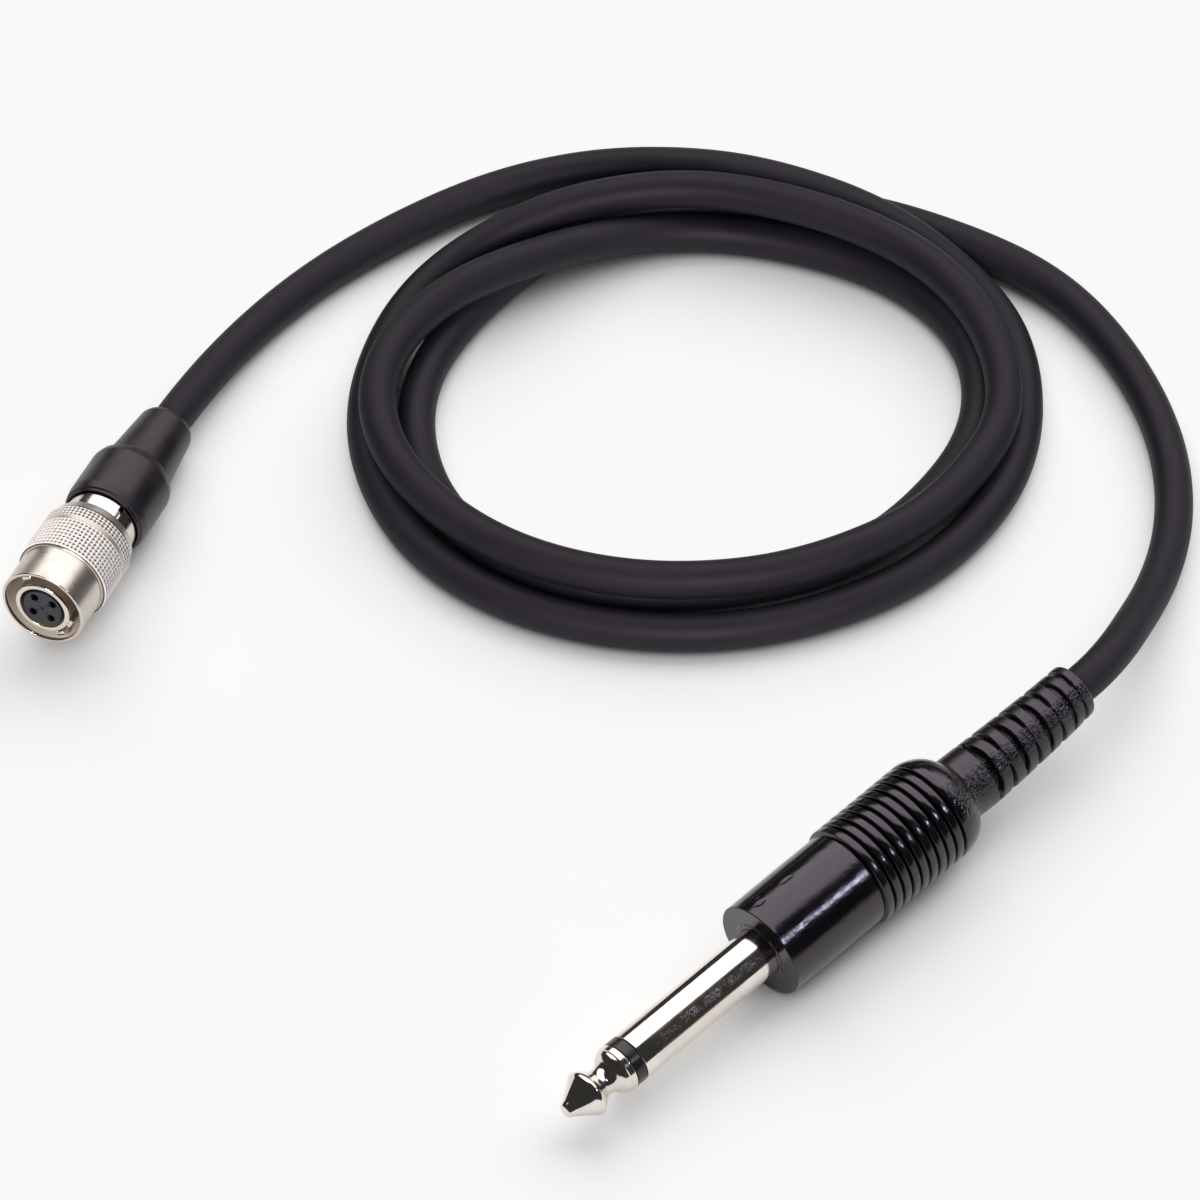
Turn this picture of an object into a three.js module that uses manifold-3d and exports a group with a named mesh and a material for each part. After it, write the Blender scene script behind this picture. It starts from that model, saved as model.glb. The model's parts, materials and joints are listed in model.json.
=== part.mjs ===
// Instrument cable: a 6.35 mm two-pole phone plug with a moulded ribbed grip, a 4-pin push-pull
// circular connector with a spring-loaded coupling sleeve, and the thin shielded cord between them,
// lying on a flat surface in a coil of three turns.
// Millimetres, +Z up, z = 0 is the surface that it lies on. The origin is at the bottom centre of
// the box round the two connectors.
// Each connector is turned about its own long axis, which is local +X, counted from its contact end.
import * as THREE from "three";
import { mergeVertices } from "three/addons/utils/BufferGeometryUtils.js";
import Module from "manifold-3d";

const wasm = await Module();
wasm.setup();

// ---- driving dimensions -------------------------------------------------
const CORD_D = 4.8; // jacket diameter
const BOX_CENTRE = [0.2286, 0.396]; // of the box round the two connectors, as laid out below

// 4-pin connector, along its axis from the coupling sleeve's rim
const CONN_POS = [-61.5959, 20.2503, 8.4411]; // rim centre
const CONN_YAW = 66.3393; // degrees about +Z
const CONN_PITCH = 6.8373; // degrees about local +Y: the boot end lies lower
const SLEEVE_LENGTH = 14.3;
const SLEEVE_NOSE_R = 5.5; // smooth nose
const SLEEVE_BAND_R = 6.0; // knurled bands
const SLEEVE_BORE_R = 5.12;
const SLEEVE_REAR_BORE_R = 4.95;
const NOSE_END = 5.3;
const BAND_END = 10.35;
const BAND2_START = 11.1;
const BAND2_END = 12.65;
const SLEEVE_TRAVEL = 1.4; // coupling sleeve, towards the boot
const SHELL_R = 3.7;
const SHELL_BORE_R = 3.03;
const INSERT_R = 2.93;
const INSERT_FRONT_R = 2.6; // leaves a groove inside the shell's rim
const CONTACT_CIRCLE_R = 1.72;
const CONTACT_R = 0.7;
const CONTACT_HOLE_R = 0.46;
const CONTACT_FIRST_ANGLE = 48.5; // degrees, about the axis
const KEY_ANGLE = 202;
const CLAW_ANGLES = [58, 238];
const REAR_BODY_R = 4.7; // the collar between the sleeve and the boot
const REAR_STEP_R = 4.3;
const REAR_SLOT_ANGLE = 127;
const SPRING_R = 4.45;
const SPRING_WIRE = 0.4;
const SPRING_TURNS = 3.5;
const BOOT_START = 16.8;
const BOOT_R = 5.48;
const BOOT_STEP = 26.35;
const BOOT_TAIL_R = 3.6;
const BOOT_END = 35.7;
const BOOT_BORE_R = 2.7;

// phone plug, along its axis from the point of the tip
const PLUG_POS = [2.644, -53.1382, 5.386]; // point of the tip
const PLUG_YAW = 44.44;
const PLUG_PITCH = -1.736; // the tip lies lower
const PLUG_R = 3.175; // 6.35 mm plug
const TIP_LENGTH = 9.15;
const RING_END = 10.7;
const FACE = 32.6; // front face of the grip
const GRIP_R = 6.38;
const RIB_START = 47.4;
const RIB_PITCH = 1.5;
const RIB_COUNT = 10;
const RIB_R = 6.83;
const RIB_VALLEY_R = 6.22;
const NECK_START = 65.5;
const NECK_R = 4.25;
const RELIEF_END = 86.9;
const RELIEF_END_R = 3.6;
const SLOT_CENTRES = [69.7, 72.15, 74.45, 76.7, 78.93, 81.15, 83.35, 85.35];
const SLOT_WIDTHS = [1.0, 0.7, 0.8, 0.65, 0.7, 0.65, 0.65, 0.6];
const SLOT_FLOOR_R = 3.1;
const SLOT_BRIDGE = 2.3;
const SLOT_ANGLE = 33; // the first slot's two bridges; each next slot is a quarter turn on
const GRIP_BORE_R = 5.45;
const RELIEF_BORE_R = 2.7;

// coil: three turns lying in one ring, slightly longer across than deep
const COIL_CENTRE = [18.6, 58.4];
const COIL_OUTER_R = 43.6;
const COIL_INNER_R = 32.6;
const COIL_HEIGHT = 9.4;
const COIL_DEPTH_RATIO = 0.89;

// ---- helpers ------------------------------------------------------------
const RAD = Math.PI / 180;

// One closed indexed surface with its faces out, from any closed geometry.
function closed(geometry) {
  const bare = new THREE.BufferGeometry();
  bare.setAttribute("position", geometry.getAttribute("position").clone());
  if (geometry.index) bare.setIndex(geometry.index.clone());
  const merged = mergeVertices(bare, 1e-4);
  const p = merged.getAttribute("position");
  const from = merged.index.array;
  const index = [];
  for (let i = 0; i < from.length; i += 3) {
    const [a, b, c] = [from[i], from[i + 1], from[i + 2]];
    if (a !== b && b !== c && a !== c) index.push(a, b, c);
  }
  const A = new THREE.Vector3();
  const B = new THREE.Vector3();
  const C = new THREE.Vector3();
  let volume = 0;
  for (let i = 0; i < index.length; i += 3) {
    A.fromBufferAttribute(p, index[i]);
    B.fromBufferAttribute(p, index[i + 1]);
    C.fromBufferAttribute(p, index[i + 2]);
    volume += A.dot(B.cross(C));
  }
  if (volume < 0)
    for (let i = 0; i < index.length; i += 3)
      [index[i + 1], index[i + 2]] = [index[i + 2], index[i + 1]];
  const out = new THREE.BufferGeometry();
  out.setAttribute("position", p.clone());
  out.setIndex(index);
  return out;
}

function solid(geometry) {
  const g = closed(geometry);
  return new wasm.Manifold(
    new wasm.Mesh({
      numProp: 3,
      vertProperties: new Float32Array(g.getAttribute("position").array),
      triVerts: new Uint32Array(g.index.array),
    }),
  );
}

function geometryOf(manifold) {
  const m = manifold.getMesh();
  const n = m.numProp;
  const v = new Float32Array(m.numVert * 3);
  for (let i = 0; i < m.numVert; i++)
    v.set(m.vertProperties.subarray(i * n, i * n + 3), i * 3);
  const g = new THREE.BufferGeometry();
  g.setAttribute("position", new THREE.BufferAttribute(v, 3));
  g.setIndex(Array.from(m.triVerts));
  return g;
}

// A turned piece about local +X, from [station, radius] pairs.
function turned(profile, segments = 24, phase = 0) {
  const g = new THREE.LatheGeometry(
    profile.map(([s, r]) => new THREE.Vector2(r, s)),
    segments,
  );
  g.rotateZ(-Math.PI / 2); // the axis goes from +Y to +X
  if (phase) g.rotateX(phase * RAD);
  return closed(g);
}

function ringProfile(outline) {
  return [...outline, outline[0]];
}

// A box from its corners, turned about the axis so that its +Z side faces the angle.
function block(x0, x1, y0, y1, z0, z1, angle = 90) {
  const g = new THREE.BoxGeometry(x1 - x0, y1 - y0, z1 - z0);
  g.translate((x0 + x1) / 2, (y0 + y1) / 2, (z0 + z1) / 2);
  g.rotateX((angle - 90) * RAD);
  return g;
}

function polygon(radius, sides) {
  const points = [];
  for (let i = 0; i < sides; i++) {
    const a = (2 * Math.PI * i) / sides;
    points.push(new THREE.Vector2(radius * Math.cos(a), radius * Math.sin(a)));
  }
  return new THREE.Shape(points);
}

function tube(points, radius, sides, steps) {
  const path = new THREE.CatmullRomCurve3(
    points.map((p) => new THREE.Vector3(...p)),
    false,
    "centripetal",
  );
  return closed(
    new THREE.ExtrudeGeometry(polygon(radius, sides), {
      steps,
      extrudePath: path,
      bevelEnabled: false,
    }),
  );
}

const material = (color, roughness, metalness) =>
  new THREE.MeshStandardMaterial({ color, roughness, metalness });

const NICKEL_MIRROR = material(0xd8d0c6, 0.12, 1);
const NICKEL_SATIN = material(0xc9c3b8, 0.35, 1);
const GRIP_PVC = material(0x101012, 0.3, 0);
const BOOT_RUBBER = material(0x131315, 0.5, 0);
const INSERT_PLASTIC = material(0x33333a, 0.55, 0);
const RING_PLASTIC = material(0x1a1716, 0.4, 0);
const CORD_JACKET = material(0x1d1b20, 0.7, 0);
const GOLD = material(0xd8ac55, 0.3, 1);
const SPRING_STEEL = material(0xb8b8ba, 0.3, 1);
const TINNED = material(0xbdb9b0, 0.4, 1);
const SOLDER = material(0xb4b4b2, 0.35, 1);
const MOULD_PLASTIC = material(0xd9d2c0, 0.6, 0);
const WIRE_RED = material(0xa02a20, 0.5, 0);
const COPPER = material(0xb87a4a, 0.4, 1);

const cable = new THREE.Group();

function add(parent, name, geometry, mat) {
  geometry.computeVertexNormals();
  const mesh = new THREE.Mesh(geometry, mat);
  mesh.name = name;
  parent.add(mesh);
  return mesh;
}

function endGroup(position, yaw, pitch) {
  const g = new THREE.Group();
  g.position.set(...position);
  g.rotation.set(0, pitch * RAD, yaw * RAD, "ZYX");
  cable.add(g);
  g.updateMatrixWorld(true);
  return g;
}

// ---- 4-pin connector ----------------------------------------------------
const connector = endGroup(CONN_POS, CONN_YAW, CONN_PITCH);

// Coupling sleeve: smooth nose, two knurled bands, bevelled tail, and the inner
// flange that its spring pushes forward.
add(
  connector,
  "coupling_sleeve",
  turned(
    ringProfile([
      [0, 5.2],
      [0, 5.38],
      [0.12, SLEEVE_NOSE_R],
      [NOSE_END, SLEEVE_NOSE_R],
      [NOSE_END + 0.25, SLEEVE_BAND_R],
      [BAND_END, SLEEVE_BAND_R],
      [BAND_END + 0.1, 5.85],
      [BAND2_START - 0.1, 5.85],
      [BAND2_START, 5.95],
      [BAND2_END, 5.95],
      [BAND2_END + 0.15, 5.7],
      [SLEEVE_LENGTH - 0.2, 5.42],
      [SLEEVE_LENGTH, 5.25],
      [SLEEVE_LENGTH, SLEEVE_REAR_BORE_R],
      [9.65, SLEEVE_REAR_BORE_R],
      [9.65, 4.2],
      [8.7, 4.2],
      [8.7, SLEEVE_BORE_R],
      [0.08, SLEEVE_BORE_R],
    ]),
    36,
  ),
  NICKEL_SATIN,
);

// Shell with its polarising key. Its rear end goes into the rear body.
{
  const shell = solid(
    turned(
      ringProfile([
        [-0.05, 3.5],
        [0.12, SHELL_R],
        [12.6, SHELL_R],
        [12.8, 3.35],
        [17.0, 3.35],
        [17.0, 2.75],
        [9.85, 2.75],
        [9.85, SHELL_BORE_R],
        [-0.05, SHELL_BORE_R],
      ]),
      32,
    ),
  );
  const key = solid(block(0.3, 5.3, -0.6, 0.6, 3.4, 4.2, KEY_ANGLE));
  add(connector, "plug_shell", geometryOf(shell.add(key)), NICKEL_MIRROR);
}

// Lock ring: a band with forward claws that end in small hooks.
{
  let ring = solid(
    turned(
      ringProfile([
        [6.35, 4.15],
        [6.35, 4.8],
        [8.25, 4.8],
        [8.25, 4.15],
      ]),
      24,
    ),
  );
  const fingers = solid(
    turned(
      ringProfile([
        [0.35, 4.15],
        [0.35, 4.6],
        [0.65, 4.88],
        [1.05, 4.88],
        [1.3, 4.6],
        [6.7, 4.6],
        [6.7, 4.15],
      ]),
      48,
    ),
  );
  for (const angle of CLAW_ANGLES)
    ring = ring.add(
      fingers.intersect(solid(block(0, 6.8, -0.85, 0.85, 3, 5.5, angle))),
    );
  add(connector, "lock_ring", geometryOf(ring), NICKEL_MIRROR);
}

// Contact insert with its four stepped holes.
{
  let insert = solid(
    turned(
      [
        [0.05, 0],
        [0.05, INSERT_FRONT_R - 0.1],
        [0.15, INSERT_FRONT_R],
        [1.2, INSERT_FRONT_R],
        [1.2, INSERT_R],
        [8.5, INSERT_R],
        [8.5, 0],
      ],
      32,
    ),
  );
  for (let k = 0; k < 4; k++) {
    const a = (CONTACT_FIRST_ANGLE + 90 * k) * RAD;
    const hole = turned(
      [
        [-0.5, 0],
        [-0.5, CONTACT_HOLE_R],
        [0.5, CONTACT_HOLE_R],
        [0.5, 0.8],
        [9.0, 0.8],
        [9.0, 0],
      ],
      12,
    );
    hole.translate(
      0,
      CONTACT_CIRCLE_R * Math.cos(a),
      CONTACT_CIRCLE_R * Math.sin(a),
    );
    insert = insert.subtract(solid(hole));
  }
  add(connector, "contact_insert", geometryOf(insert), INSERT_PLASTIC);
}

// Socket contacts: a blind bore for the pin in front, a solder cup behind.
const contactPlace = (k) => {
  const a = (CONTACT_FIRST_ANGLE + 90 * k) * RAD;
  return [CONTACT_CIRCLE_R * Math.cos(a), CONTACT_CIRCLE_R * Math.sin(a)];
};
for (let k = 0; k < 4; k++) {
  const contact = turned(
    [
      [6.3, 0],
      [6.3, 0.4],
      [0.75, 0.4],
      [0.75, CONTACT_R],
      [9.1, CONTACT_R],
      [9.3, 0.6],
      [11.7, 0.6],
      [11.7, 0.4],
      [9.8, 0.4],
      [9.8, 0],
    ],
    12,
  );
  contact.translate(0, ...contactPlace(k));
  add(connector, "socket_contact_" + (k + 1), contact, GOLD);
}

// Split ring that keeps the insert in the shell.
{
  const ring = solid(
    turned(
      ringProfile([
        [8.65, 2.6],
        [8.65, 2.93],
        [9.5, 2.93],
        [9.5, 2.6],
      ]),
      24,
    ),
  );
  const slit = solid(block(8.5, 9.7, -0.5, 0.5, 2, 4, 300));
  add(connector, "insert_retainer", geometryOf(ring.subtract(slit)), SPRING_STEEL);
}

// Coupling spring, from the rear body's front face to the sleeve's flange.
{
  const points = [];
  const from = 9.65 + 0.15 + SPRING_WIRE / 2;
  const to = 13.05 - 0.15 - SPRING_WIRE / 2;
  const steps = SPRING_TURNS * 16;
  for (let i = 0; i <= steps; i++) {
    const a = (2 * Math.PI * SPRING_TURNS * i) / steps;
    points.push([
      from + ((to - from) * i) / steps,
      SPRING_R * Math.cos(a),
      SPRING_R * Math.sin(a),
    ]);
  }
  add(
    connector,
    "coupling_spring",
    tube(points, SPRING_WIRE / 2, 6, steps),
    SPRING_STEEL,
  );
}

// Rear body: a collar behind the sleeve, with an axial slot, and the thread under the boot.
{
  const body = solid(
    turned(
      ringProfile([
        [13.05, 4.5],
        [13.2, REAR_BODY_R],
        [17.1, REAR_BODY_R],
        [17.2, REAR_STEP_R],
        [17.9, REAR_STEP_R],
        [18.0, 4.0],
        [24.4, 4.0],
        [24.4, 3.6],
        [13.05, 3.6],
      ]),
      48,
    ),
  );
  const slot = solid(block(14.6, 17.3, -0.3, 0.3, 4.3, 6, REAR_SLOT_ANGLE));
  add(connector, "rear_body", geometryOf(body.subtract(slot)), NICKEL_SATIN);
}

// Cord clamp: a collet split from its front end.
{
  const collet = solid(
    turned(
      ringProfile([
        [18.3, 2.7],
        [18.3, 3.2],
        [24.1, 3.3],
        [24.1, 2.7],
      ]),
      20,
    ),
  );
  const slits = solid(block(18, 22.5, -5, 5, -0.3, 0.3)).add(
    solid(block(18, 22.5, -0.3, 0.3, -5, 5)),
  );
  add(connector, "cord_clamp", geometryOf(collet.subtract(slits)), TINNED);
}

// Rubber boot.
add(
  connector,
  "boot",
  turned(
    ringProfile([
      [BOOT_START, 4.95],
      [BOOT_START + 0.05, 5.05],
      [BOOT_START + 0.35, 5.1],
      [BOOT_START + 0.45, 5.28],
      [18.3, BOOT_R],
      [24.7, BOOT_R],
      [25.7, 5.2],
      [BOOT_STEP - 0.15, 4.7],
      [BOOT_STEP, 4.45],
      [BOOT_END - 0.85, BOOT_TAIL_R],
      [BOOT_END - 0.25, 3.35],
      [BOOT_END, 3.0],
      [BOOT_END, BOOT_BORE_R],
      [24.8, BOOT_BORE_R],
      [24.8, 4.3],
      [18.4, 4.3],
      [18.4, 4.6],
      [17.6, 4.6],
      [17.6, 4.85],
      [BOOT_START, 4.85],
    ]),
    28,
  ),
  BOOT_RUBBER,
);

// Wire ends: the signal core to contact 1, the shield to contact 3.
{
  const [y1, z1] = contactPlace(0);
  const [y3, z3] = contactPlace(2);
  add(
    connector,
    "connector_signal_lead",
    tube(
      [
        [11.9, y1, z1],
        [13.1, y1, z1],
        [15.3, y1 * 0.7, z1 * 0.8],
        [17.75, 0.5, 0.6],
      ],
      0.45,
      8,
      8,
    ),
    WIRE_RED,
  );
  add(
    connector,
    "connector_shield_lead",
    tube(
      [
        [11.9, y3, z3],
        [13.1, y3, z3],
        [15.3, y3 * 0.7, z3 * 0.8],
        [17.75, -0.5, -0.7],
      ],
      0.45,
      8,
      8,
    ),
    COPPER,
  );
}

// ---- phone plug ---------------------------------------------------------
const plug = endGroup(PLUG_POS, PLUG_YAW, PLUG_PITCH);

// Tip with the rod that carries its contact back through the sleeve.
add(
  plug,
  "plug_tip",
  turned(
    [
      [0, 0],
      [0, 0.5],
      [0.3, 0.85],
      [3.25, 2.95],
      [3.6, 3.1],
      [4.1, 3.0],
      [5.4, 1.98],
      [6.1, 1.8],
      [6.8, 1.95],
      [7.8, 2.85],
      [8.3, 3.08],
      [TIP_LENGTH, 3.15],
      [TIP_LENGTH, 1.0],
      [40.6, 1.0],
      [40.6, 0],
    ],
    32,
  ),
  NICKEL_MIRROR,
);

add(
  plug,
  "tip_insulator_ring",
  turned(
    ringProfile([
      [TIP_LENGTH + 0.12, 1.25],
      [TIP_LENGTH + 0.12, 3.12],
      [RING_END, 3.12],
      [RING_END, 1.25],
    ]),
    32,
  ),
  RING_PLASTIC,
);

add(
  plug,
  "plug_sleeve",
  turned(
    ringProfile([
      [RING_END + 0.12, 3.08],
      [RING_END + 0.22, PLUG_R],
      [35.0, PLUG_R],
      [35.0, 4.5],
      [36.6, 4.5],
      [36.6, 2.35],
      [RING_END + 0.12, 2.35],
    ]),
    32,
  ),
  NICKEL_MIRROR,
);

add(
  plug,
  "rod_insulator",
  turned(
    ringProfile([
      [RING_END + 0.2, 1.2],
      [RING_END + 0.2, 2.1],
      [39.0, 2.1],
      [39.0, 1.2],
    ]),
    16,
  ),
  MOULD_PLASTIC,
);

// Ground tag: a ring behind the sleeve's flange, an arm, and the crimp round the jacket.
{
  const ring = solid(
    turned(
      ringProfile([
        [36.8, 2.4],
        [36.8, 4.4],
        [37.4, 4.4],
        [37.4, 2.4],
      ]),
      24,
    ),
  );
  const arm = solid(block(36.9, 56.4, -1.3, 1.3, -4.0, -3.4));
  const crimp = solid(
    turned(
      ringProfile([
        [56.2, 2.75],
        [56.2, 3.6],
        [60.8, 3.6],
        [60.8, 2.75],
      ]),
      20,
    ),
  ).subtract(solid(block(56, 61, -1.4, 1.4, 0.5, 5)));
  add(plug, "ground_tag", geometryOf(ring.add(arm).add(crimp)), TINNED);
}

add(
  plug,
  "rear_insulating_washer",
  turned(
    ringProfile([
      [37.7, 2.4],
      [37.7, 3.15],
      [38.6, 3.15],
      [38.6, 2.4],
    ]),
    20,
  ),
  MOULD_PLASTIC,
);

// Tip tag, on the end of the tip's rod.
{
  const ring = solid(
    turned(
      ringProfile([
        [39.3, 1.12],
        [39.3, 3.0],
        [39.9, 3.0],
        [39.9, 1.12],
      ]),
      20,
    ),
  );
  const tab = solid(block(39.4, 46.0, -1.0, 1.0, 2.2, 2.8));
  add(plug, "tip_solder_tag", geometryOf(ring.add(tab)), TINNED);
}

// Inner mould: the first shot, round the flange and the tags.
add(
  plug,
  "inner_mould",
  turned(
    ringProfile([
      [34.2, 4.8],
      [34.2, 5.15],
      [56.7, 5.15],
      [56.7, 4.4],
      [55.9, 4.4],
      [55.9, 4.8],
    ]),
    24,
  ),
  MOULD_PLASTIC,
);

add(
  plug,
  "plug_signal_lead",
  tube(
    [
      [44.25, 0, 3.6],
      [46.6, 0, 3.55],
      [50.5, 0, 1.9],
      [53.6, 0, 0.9],
      [56.0, 0, 0.75],
    ],
    0.65,
    8,
    10,
  ),
  WIRE_RED,
);

add(
  plug,
  "plug_shield_lead",
  tube(
    [
      [49.05, 0, -2.62],
      [50.8, 0, -2.55],
      [53.2, 0, -1.6],
      [56.0, 0, -0.95],
    ],
    0.55,
    8,
    8,
  ),
  COPPER,
);

{
  const tip = closed(new THREE.SphereGeometry(0.45, 10, 8));
  tip.scale(1.3, 1.5, 1);
  tip.translate(43.5, 0, 3.42);
  add(plug, "tip_solder_joint", tip, SOLDER);
  const ground = closed(new THREE.SphereGeometry(0.45, 10, 8));
  ground.scale(1.3, 1.5, 1);
  ground.translate(48.3, 0, -2.78);
  add(plug, "ground_solder_joint", ground, SOLDER);
}

// Grip: one moulding, with a smooth front, ten ribs, a domed shoulder, a neck and the
// strain relief, whose slots each leave two bridges, turned a quarter from one to the next.
{
  const outline = [
    [FACE, 6.05],
    [FACE + 0.12, 6.25],
    [FACE + 0.4, GRIP_R],
    [RIB_START, GRIP_R],
  ];
  for (let k = 0; k < RIB_COUNT; k++) {
    const s = RIB_START + k * RIB_PITCH;
    outline.push([s + 0.02, k ? RIB_VALLEY_R : GRIP_R - 0.1]);
    outline.push([s + 0.4, RIB_R]);
    outline.push([s + 1.05, RIB_R]);
  }
  outline.push(
    [62.6, 6.66],
    [63.4, 6.4],
    [64.3, 5.9],
    [65.0, 5.2],
    [NECK_START, NECK_R],
    [69.0, NECK_R],
    [RELIEF_END - 0.5, RELIEF_END_R],
    [RELIEF_END, 3.3],
    [RELIEF_END, RELIEF_BORE_R],
    [62.5, RELIEF_BORE_R],
    [62.5, 3.85],
    [57.0, 3.85],
    [57.0, GRIP_BORE_R],
    [33.9, GRIP_BORE_R],
    [33.9, 3.4],
    [FACE, 3.4],
  );
  let grip = solid(turned(ringProfile(outline), 24));
  SLOT_CENTRES.forEach((centre, k) => {
    const half = SLOT_WIDTHS[k] / 2;
    const ring = solid(
      turned(
        ringProfile([
          [centre - half, SLOT_FLOOR_R],
          [centre - half, 6],
          [centre + half, 6],
          [centre + half, SLOT_FLOOR_R],
        ]),
        24,
      ),
    );
    const bridge = solid(
      block(
        centre - 1.5,
        centre + 1.5,
        -SLOT_BRIDGE / 2,
        SLOT_BRIDGE / 2,
        -7,
        7,
        SLOT_ANGLE + (k % 2 ? 90 : 0),
      ),
    );
    grip = grip.subtract(ring.subtract(bridge));
  });
  add(plug, "plug_grip", geometryOf(grip), GRIP_PVC);
}

// ---- cord ---------------------------------------------------------------
// Where each connector's own axis takes the cord, at a station along it.
const along = (group, station) =>
  group.localToWorld(new THREE.Vector3(station, 0, 0)).toArray();

// From inside the boot to the coil's outer turn.
add(
  cable,
  "cord_lead_connector",
  tube(
    [
      along(connector, 18.1),
      along(connector, 24.0),
      along(connector, 30.0),
      along(connector, BOOT_END - 0.3),
      [-44.77, 58.02, 3.55],
      [-42.13, 62.68, 3.08],
      [-39.23, 67.11, 2.73],
      [-35.95, 71.42, 2.51],
      [-32.26, 75.57, 2.43],
      [-28.22, 79.46, 2.43],
      [-23.91, 83.06, 2.43],
      [-19.38, 86.37, 2.43],
      [-14.67, 89.41, 2.43],
      [-12.8, 90.5, 2.43],
    ],
    CORD_D / 2,
    10,
    26,
  ),
  CORD_JACKET,
);

// From the coil's outer edge round to the plug, and through the strain relief to the crimp.
add(
  cable,
  "cord_lead_plug",
  tube(
    [
      [59.4, 81.2, 2.43],
      [61.01, 80.04, 2.43],
      [65.23, 76.35, 2.43],
      [68.82, 72.04, 2.43],
      [71.81, 67.28, 2.43],
      [74.3, 62.25, 2.43],
      [76.3, 57.0, 2.43],
      [77.69, 51.56, 2.43],
      [78.38, 45.99, 2.43],
      [78.34, 40.37, 2.45],
      [77.54, 34.82, 2.64],
      [76.1, 29.44, 3.32],
      [74.26, 24.29, 4.57],
      [72.13, 19.32, 6.14],
      [69.57, 14.51, 7.5],
      [66.21, 10.09, 8.1],
      along(plug, RELIEF_END + 0.3),
      along(plug, 80),
      along(plug, 72),
      along(plug, 64),
      along(plug, 56.6),
    ],
    CORD_D / 2,
    10,
    40,
  ),
  CORD_JACKET,
);

// The coil's outer shape: three turns, one lying in the groove of the other two.
{
  const ring = new THREE.LatheGeometry(
    ringProfile([
      [COIL_INNER_R + 0.4, 0],
      [COIL_OUTER_R - 0.5, 0],
      [COIL_OUTER_R, 1.4],
      [COIL_OUTER_R, 3.6],
      [COIL_OUTER_R - 1.6, COIL_HEIGHT - 1.6],
      [COIL_OUTER_R - 3.4, COIL_HEIGHT],
      [COIL_INNER_R + 4.0, COIL_HEIGHT],
      [COIL_INNER_R + 1.9, COIL_HEIGHT - 1.8],
      [COIL_INNER_R, 4.2],
      [COIL_INNER_R, 1.2],
    ]).map(([r, z]) => new THREE.Vector2(r, z)),
    40,
  );
  ring.rotateX(Math.PI / 2); // the axis goes from +Y to +Z
  ring.scale(1, COIL_DEPTH_RATIO, 1);
  const coil = add(cable, "cord_coil", closed(ring), CORD_JACKET);
  coil.position.set(COIL_CENTRE[0], COIL_CENTRE[1], 0);
}

// Put the origin at the middle of the box round the two connectors.
for (const child of cable.children) {
  child.position.x -= BOX_CENTRE[0];
  child.position.y -= BOX_CENTRE[1];
}

export default cable;
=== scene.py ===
import json
import math

import bpy
import numpy as np
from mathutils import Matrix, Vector, noise


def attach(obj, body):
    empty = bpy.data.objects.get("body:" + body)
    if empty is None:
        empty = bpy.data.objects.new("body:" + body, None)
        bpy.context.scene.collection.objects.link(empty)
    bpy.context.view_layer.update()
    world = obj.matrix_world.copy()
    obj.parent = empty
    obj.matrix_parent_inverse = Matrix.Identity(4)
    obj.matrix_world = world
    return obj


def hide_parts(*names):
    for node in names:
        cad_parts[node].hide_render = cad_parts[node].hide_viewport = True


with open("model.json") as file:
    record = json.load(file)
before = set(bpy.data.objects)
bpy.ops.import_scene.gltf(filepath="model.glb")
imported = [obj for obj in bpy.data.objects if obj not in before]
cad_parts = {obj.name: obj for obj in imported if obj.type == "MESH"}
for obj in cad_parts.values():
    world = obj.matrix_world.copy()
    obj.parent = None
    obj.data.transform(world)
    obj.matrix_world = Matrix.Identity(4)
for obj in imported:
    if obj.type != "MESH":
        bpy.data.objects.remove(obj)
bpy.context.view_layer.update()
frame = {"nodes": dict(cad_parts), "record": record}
nodes = frame["nodes"]

MM = 0.001


# ---- frames of the two connectors --------------------------------------
# Local X runs along the connector from its contact end; stations and radii are in millimetres.
def end_frame(position, yaw, pitch):
    a, b = math.radians(yaw), math.radians(pitch)
    x = np.array([math.cos(b) * math.cos(a), math.cos(b) * math.sin(a), -math.sin(b)])
    z = np.array([math.sin(b) * math.cos(a), math.sin(b) * math.sin(a), math.cos(b)])
    return np.array(position, dtype=float), x, np.cross(z, x), z


CONN = end_frame((-61.8245, 19.8543, 8.4411), 66.3393, 6.8373)
PLUG = end_frame((2.4154, -53.5342, 5.386), 44.44, -1.736)


def at(f, s, y=0.0, z=0.0):
    return f[0] + f[1] * s + f[2] * y + f[3] * z


def metres(p):
    return tuple(float(v) * MM for v in p)


# ---- camera -------------------------------------------------------------
camera_data = bpy.data.cameras.new("camera")
camera_data.sensor_width = 36.0
camera_data.lens = 266.12
camera_data.clip_start = 0.01
camera_data.clip_end = 20.0
camera = bpy.data.objects.new("camera", camera_data)
camera.location = (0.0065974, -0.656906, 0.860869)
camera.rotation_euler = (math.radians(38.5), 0.0, 0.0)
bpy.context.scene.collection.objects.link(camera)
bpy.context.scene.camera = camera


# ---- node materials -----------------------------------------------------
def smooth_step(a, b, x):
    t = np.clip((np.asarray(x, dtype=float) - a) / (b - a), 0.0, 1.0)
    return t * t * (3.0 - 2.0 * t)


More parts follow.
